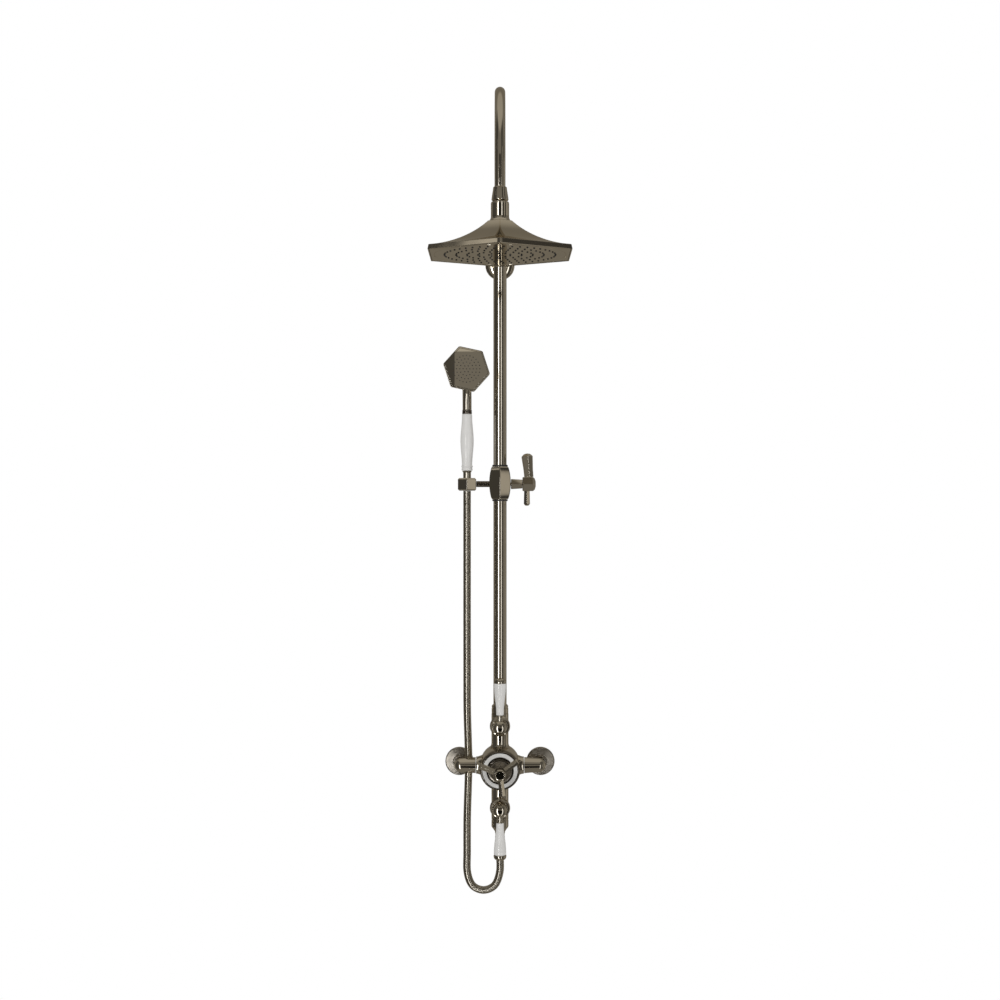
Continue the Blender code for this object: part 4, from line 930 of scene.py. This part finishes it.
def lever_tap(tap, z, turn):
    """A tap's collar, and its lever: a domed hub with a stem, a grip and an end cap."""
    centre, body = at(0, 0, z), tap + "_lever"
    back, front = outs(tap + "_tap_collar")
    collar_r, bore = width(tap + "_tap_collar", "x") / 2, 0.0088
    collar = ring([(bore, front), (0.0135, front), (0.0140, front - 0.0003),
                   (collar_r - 0.0016, front - 0.0012), (collar_r, front - 0.0034),
                   (collar_r, back), (bore, back)], FRONT, centre, FILLET, 80)
    piece(tap + "_collar", collar, "root", tap + "_tap_collar")
    back, front = outs(tap + "_lever_hub")
    hub_r, stem_r, stem_end, tenon = 0.0125, 0.005, 0.0224, 0.0035
    stem_at = at(0, 0.094, z)
    depth, bore, waist = 0.0883, 0.00435, hub_r - 0.0006
    dome = bezier((0.0002, front), (hub_r * 0.55, front), (hub_r, front - 0.002),
                  (hub_r, front - 0.009), 20)
    hub = turned([(0, front), *dome[1:], (hub_r, back + 0.0035), (waist, back + 0.003),
                  (waist, back + 0.002), (hub_r, back + 0.0014), (hub_r, back + 0.0005),
                  (waist, back), (bore, back), (bore, depth), (0, depth)],
                 FRONT, centre, FINE, 80)
    tenon_end, shoulder = stem_end + 0.0103, stem_r + 0.0012
    stem = turned([(tenon, tenon_end), (tenon, stem_end), (shoulder, stem_end),
                   (shoulder, stem_end - 0.0016), (stem_r, stem_end - 0.0024),
                   (stem_r, hub_r - 0.004)], turn, stem_at, FINE)
    piece(tap + "_hub", united(tap + "_hub", hub, stem), body, tap + "_lever_hub", sharp=40)
    start, end, start_r, end_r = 0.0227, 0.080, 0.00675, 0.011
    bore, depth = tenon + GAP, start + 0.0103
    side = eased((end_r, end - 0.004), (start_r, start + 0.003), 24)
    grip = turned([(end_r - 0.0006, end), (end_r, end - 0.0010), *side,
                   (start_r, start + 0.001), (start_r - 0.0008, start), (bore, start),
                   (bore, depth)], turn, stem_at, FILLET, 80)
    piece(tap + "_grip", grip, body, tap + "_lever_grip", look="white_ceramic")
    start, tall, cap_r, tip_r = 0.0803, 0.0085, 0.0115, 0.0065
    top = start + tall
    side = bezier((tip_r, top), (tip_r + 0.003, top - 0.0005), (cap_r, top - 0.003),
                  (cap_r, start + 0.0018), 12)
    cap = turned([*side, (cap_r, start + 0.0004), (cap_r - 0.0004, start)],
                 turn, stem_at, FINE, 80)
    piece(tap + "_cap", cap, body, tap + "_lever_cap")


# ---- Slider, clamp and holder --------------------------------------------------------
def slider():
    """A six-sided barrel that swells towards its middle, with its bushes and its spacer."""
    low, high = ends("slider_body", "z")
    axis, cross = at(0, PIPE_OUT), at(0, PIPE_OUT, CROSS_Z)
    half_mid, half_end = 0.0195, 0.0143
    share = np.linspace(1, -1, 33)
    swell = np.cos(pi / 2 * share) ** 0.6
    barrel = np.stack((half_end + (half_mid - half_end) * swell,
                       (low + high) / 2 + share * (high - low) / 2), -1)
    shell = six_sided(barrel, UP, axis, 0.0005, 0.0012)
    cuts = (rod(RISER_R + 0.00065, low - 0.02, high + 0.02, UP, axis),
            rod(0.00585, 0.008, 0.03, LEFT, cross), rod(0.0048, 0.008, 0.03, RIGHT, cross))
    piece("slider_shell", united("slider_shell", shell, cuts=cuts), "slider", "slider_body",
          sharp=30)
    for end in ("upper", "lower"):
        node = "slider_bush_" + end
        sleeve = band(width(node, "x") / 2, RISER_R + 0.00035, *ends(node, "z"), UP, axis, 0.0005)
        piece("slider_sleeve_" + end, sleeve, "slider", node, look="black_plastic")
    start, end = ends("clamp_sleeve", "x")[0], ends("clamp_lever_hub", "x")[0] - GAP
    half_start, half_end, bore = 0.0092, 0.0080, 0.0033
    spacer = six_sided([(bore, end), (half_end - 0.0003, end), (half_end, end - 0.0004),
                        (half_start, start + 0.001), (half_start - 0.0006, start),
                        (bore, start)], RIGHT, cross, FINE, 0.0006, loop=True)
    piece("clamp_spacer", spacer, "slider", "clamp_sleeve")


def clamp_lever():
    """The T-shaped clamp: a six-sided hub, a long arm up and a short arm down."""
    cross = at(0, PIPE_OUT, CROSS_Z)
    start, end = ends("clamp_lever_hub", "x")
    half = 0.01275
    hub = six_sided([(0, end), (half * 0.35, end), (half * 0.8, end - 0.0018),
                     (half, end - 0.005), (half, start + 0.001), (half - 0.001, start),
                     (0, start)], RIGHT, cross, 0.0008, 0.0008)
    length, arm_half, root = CROSS_Z - ends("clamp_lever_hub", "z")[0], 0.0056, half - 0.001
    arm = six_sided([(0, length), (arm_half * 0.6, length - 0.0005), (arm_half, length - 0.0035),
                     (arm_half * 0.9, root), (0, root)], DOWN, cross + at(0.049), FILLET, 0.0006)
    screw = rod(0.00335, start - 0.01, start + 0.0066, RIGHT, cross)
    piece("clamp_hub", united("clamp_hub", hub, arm, cuts=(screw,)), "clamp_lever",
          "clamp_lever_hub", sharp=28)
    seat, lean, clock = half + 0.0011, radians(-5), radians(-20)
    length, half_start, half_end, root = 0.056 - seat, 0.00775, 0.0095, -0.0015
    long_arm = six_sided([(0, length), (half_end * 0.55, length - 0.001),
                          (half_end, length - 0.0055), (half_start * 1.02, 0.012),
                          (half_start, root), (0, root)], about_y(lean),
                         cross + at(0.0525, 0, seat), 0.0008, 0.0008, clock)
    piece("clamp_arm", long_arm, "clamp_lever", "clamp_lever_arm")


def holder():
    cross, axis = at(0, PIPE_OUT, CROSS_Z), at(HOLDER_X, PIPE_OUT)
    far, near = (-x for x in ends("holder_rod", "x"))
    bar_r, bevel = 0.0055, 0.0024
    # The bar's nickel is painted dark, a painted dark reflection
    piece("holder_bar", rod(bar_r, near, far, LEFT, cross), "holder", "holder_rod",
          look="dark_nickel")
    low, high = ends("holder_block", "z")
    half = width("holder_block", "y") / 2 / HEX
    block = six_sided([(half - bevel, high), (half, high - bevel), (half, low + bevel),
                       (half - bevel, low)], UP, axis, 0.0004, 0.0009)
    bore = rod(0.0125, low - 0.01, high + 0.01, UP, axis)
    piece("holder_shell", united("holder_shell", block, cuts=(bore,)), "holder",
          "holder_block", sharp=30)
    low, high = ends("holder_insert", "z")
    liner = ring([(0.01075, high), (0.0122, high), (0.0122, low), (0.00805, low)],
                 UP, axis, 0.0004)
    piece("holder_liner", liner, "holder", "holder_insert", look="black_plastic")
    low, high = ends("hose_cone_nut", "z")
    cone = turned([(0.0104, high), (0.0077, low)], UP, axis, 0.0005)
    piece("hose_cone", cone, "hose_end", "hose_cone_nut")


# ---- Hand shower ---------------------------------------------------------------------
HANDSET_RINGS = ((0.006, 6), (0.012, 12), (0.018, 18), (0.024, 24))


def hand_shower():
    """The tube with its ferrule, the white grip with its beads, and the collar."""
    axis, body = at(HOLDER_X, PIPE_OUT), "hand_shower"
    low, tube_top = ends("handset_ferrule", "z")
    foot, head = ends("handset_handle", "z")
    top, tube_r, ferrule_r = foot - GAP, 0.0045, 0.0071
    bead_r = ferrule_r + 0.0006
    ferrule = turned([(tube_r, tube_top), (tube_r, top), (bead_r, top),
                      (ferrule_r + 0.0016, top - 0.0008), (bead_r, top - 0.0022),
                      (ferrule_r, top - 0.0030), (ferrule_r, low)], UP, axis, FINE)
    piece("handle_ferrule", ferrule, body, "handset_ferrule")
    foot_r, mid_r, top_r, mid_z = 0.0100, 0.0120, 0.00925, -0.327
    waist, bead_r, bore = foot_r - 0.0006, foot_r + 0.0003, tube_r + GAP
    outer = np.vstack((eased((top_r, head - 0.004), (mid_r, mid_z), 22),
                       eased((mid_r, mid_z), (waist, foot + 0.011), 22)[1:]))
    beads = [(waist, foot + 0.0095), (bead_r, foot + 0.0085), (bead_r, foot + 0.0070),
             (waist, foot + 0.0060), (waist, foot + 0.0045), (foot_r, foot + 0.0035)]
    grip = ring([(bore, head), (top_r - 0.0012, head), (top_r, head - 0.0016), *outer, *beads,
                 (foot_r, foot + 0.0012), (foot_r - 0.0008, foot), (bore, foot)],
                UP, axis, FILLET, 96)
    piece("handle_grip", grip, body, "handset_handle", look="white_ceramic")
    low, high, outer = upright_round("handset_collar")
    waist = outer - 0.0005
    collar = ring([(bore, high), (outer - 0.0008, high), (outer, high - 0.0008),
                   (outer, high - 0.0026), (waist, high - 0.003), (waist, high - 0.004),
                   (outer, high - 0.0044), (outer, low), (bore, low)], UP, axis)
    # The collar's nickel is painted dark, a painted dark reflection
    piece("handle_collar", collar, body, "handset_collar", look="dark_nickel")
    hand_shower_head(body, high + GAP)


def hand_shower_head(body, neck_foot):
    """A six-sided shell with a cast neck, and the spray plate in its front."""
    back, front = outs("handset_face_plate")
    centre_z = middle("handset_face_plate", "z")
    centre = at(HOLDER_X, 0, centre_z)
    half, rim, rear, rear_half, neck_r = 0.03725, 0.090, 0.066, 0.017, 0.0082
    clock = radians(-12)
    shell = six_sided([(half, front), (half, rim), (rear_half, rear)],
                      FRONT, centre, 0.0009, 0.0045, clock)
    bend = bezier(at(HOLDER_X, PIPE_OUT, neck_foot + 0.005),
                  at(HOLDER_X, PIPE_OUT, neck_foot + 0.023),
                  at(HOLDER_X, 0.057, centre_z - 0.035), at(HOLDER_X, 0.078, centre_z - 0.012), 30)
    neck = along(np.vstack((at(HOLDER_X, PIPE_OUT, neck_foot), bend)), neck_r, 64, (1, 0, 0))
    plate_half, proud, deep = half - 0.0025, front + 0.01, back - GAP
    recess = six_sided([(plate_half, proud), (plate_half, deep)],
                       FRONT, centre, 0.0001, 0.0042, clock)
    piece("shower_shell", united("shower_shell", shell, neck, cuts=(recess,)), body,
          "handset_head", look="mirror_nickel", sharp=28)
    fitted = plate_half - GAP
    plate = six_sided([(fitted, front), (fitted, back)], FRONT, centre, 0.0004, 0.0042, clock)
    piece("shower_plate", plate, body, "handset_face_plate", look="mirror_nickel")
    centres = [(0.0, 0.0, 0.0)]
    for ring_r, count in HANDSET_RINGS:
        around = 2 * pi * np.arange(count) / count
        centres.extend(np.stack((ring_r * np.cos(around), ring_r * np.sin(around), 0 * around), -1))
    points, quads, fans = domes(centres, 0.0010, 0.0004, 8)
    points = placed(points * (1, -1, -1), FRONT, centre + at(0, front))
    piece("shower_nozzles", (points, quads, fans), body, look="rubber")


# ---- The whole column ----------------------------------------------------------------
camera()
studio()
floor()
soft_light("key_light", (-1.2, -2.4, 0.8), (0, -0.1, -0.5), 1.2, 22.0)
soft_light("fill_light", (1.6, -2.0, -0.4), (0, -0.1, -0.5), 1.6, 10.0)
soft_light("rear_light", (0.6, 2.2, 0.6), (0, 0, -0.5), 1.6, 16.0)
hose()
wall_bracket()
riser()
gooseneck()
rain_head()
valve()
bonnet()
riser_nut()
inlet("left", LEFT)
inlet("right", RIGHT)
hose_outlet()
temperature_handle()
lever_tap("upper", UPPER_TAP_Z, UP)
lever_tap("lower", LOWER_TAP_Z, DOWN)
slider()
clamp_lever()
holder()
hand_shower()
dress_kept_nodes()
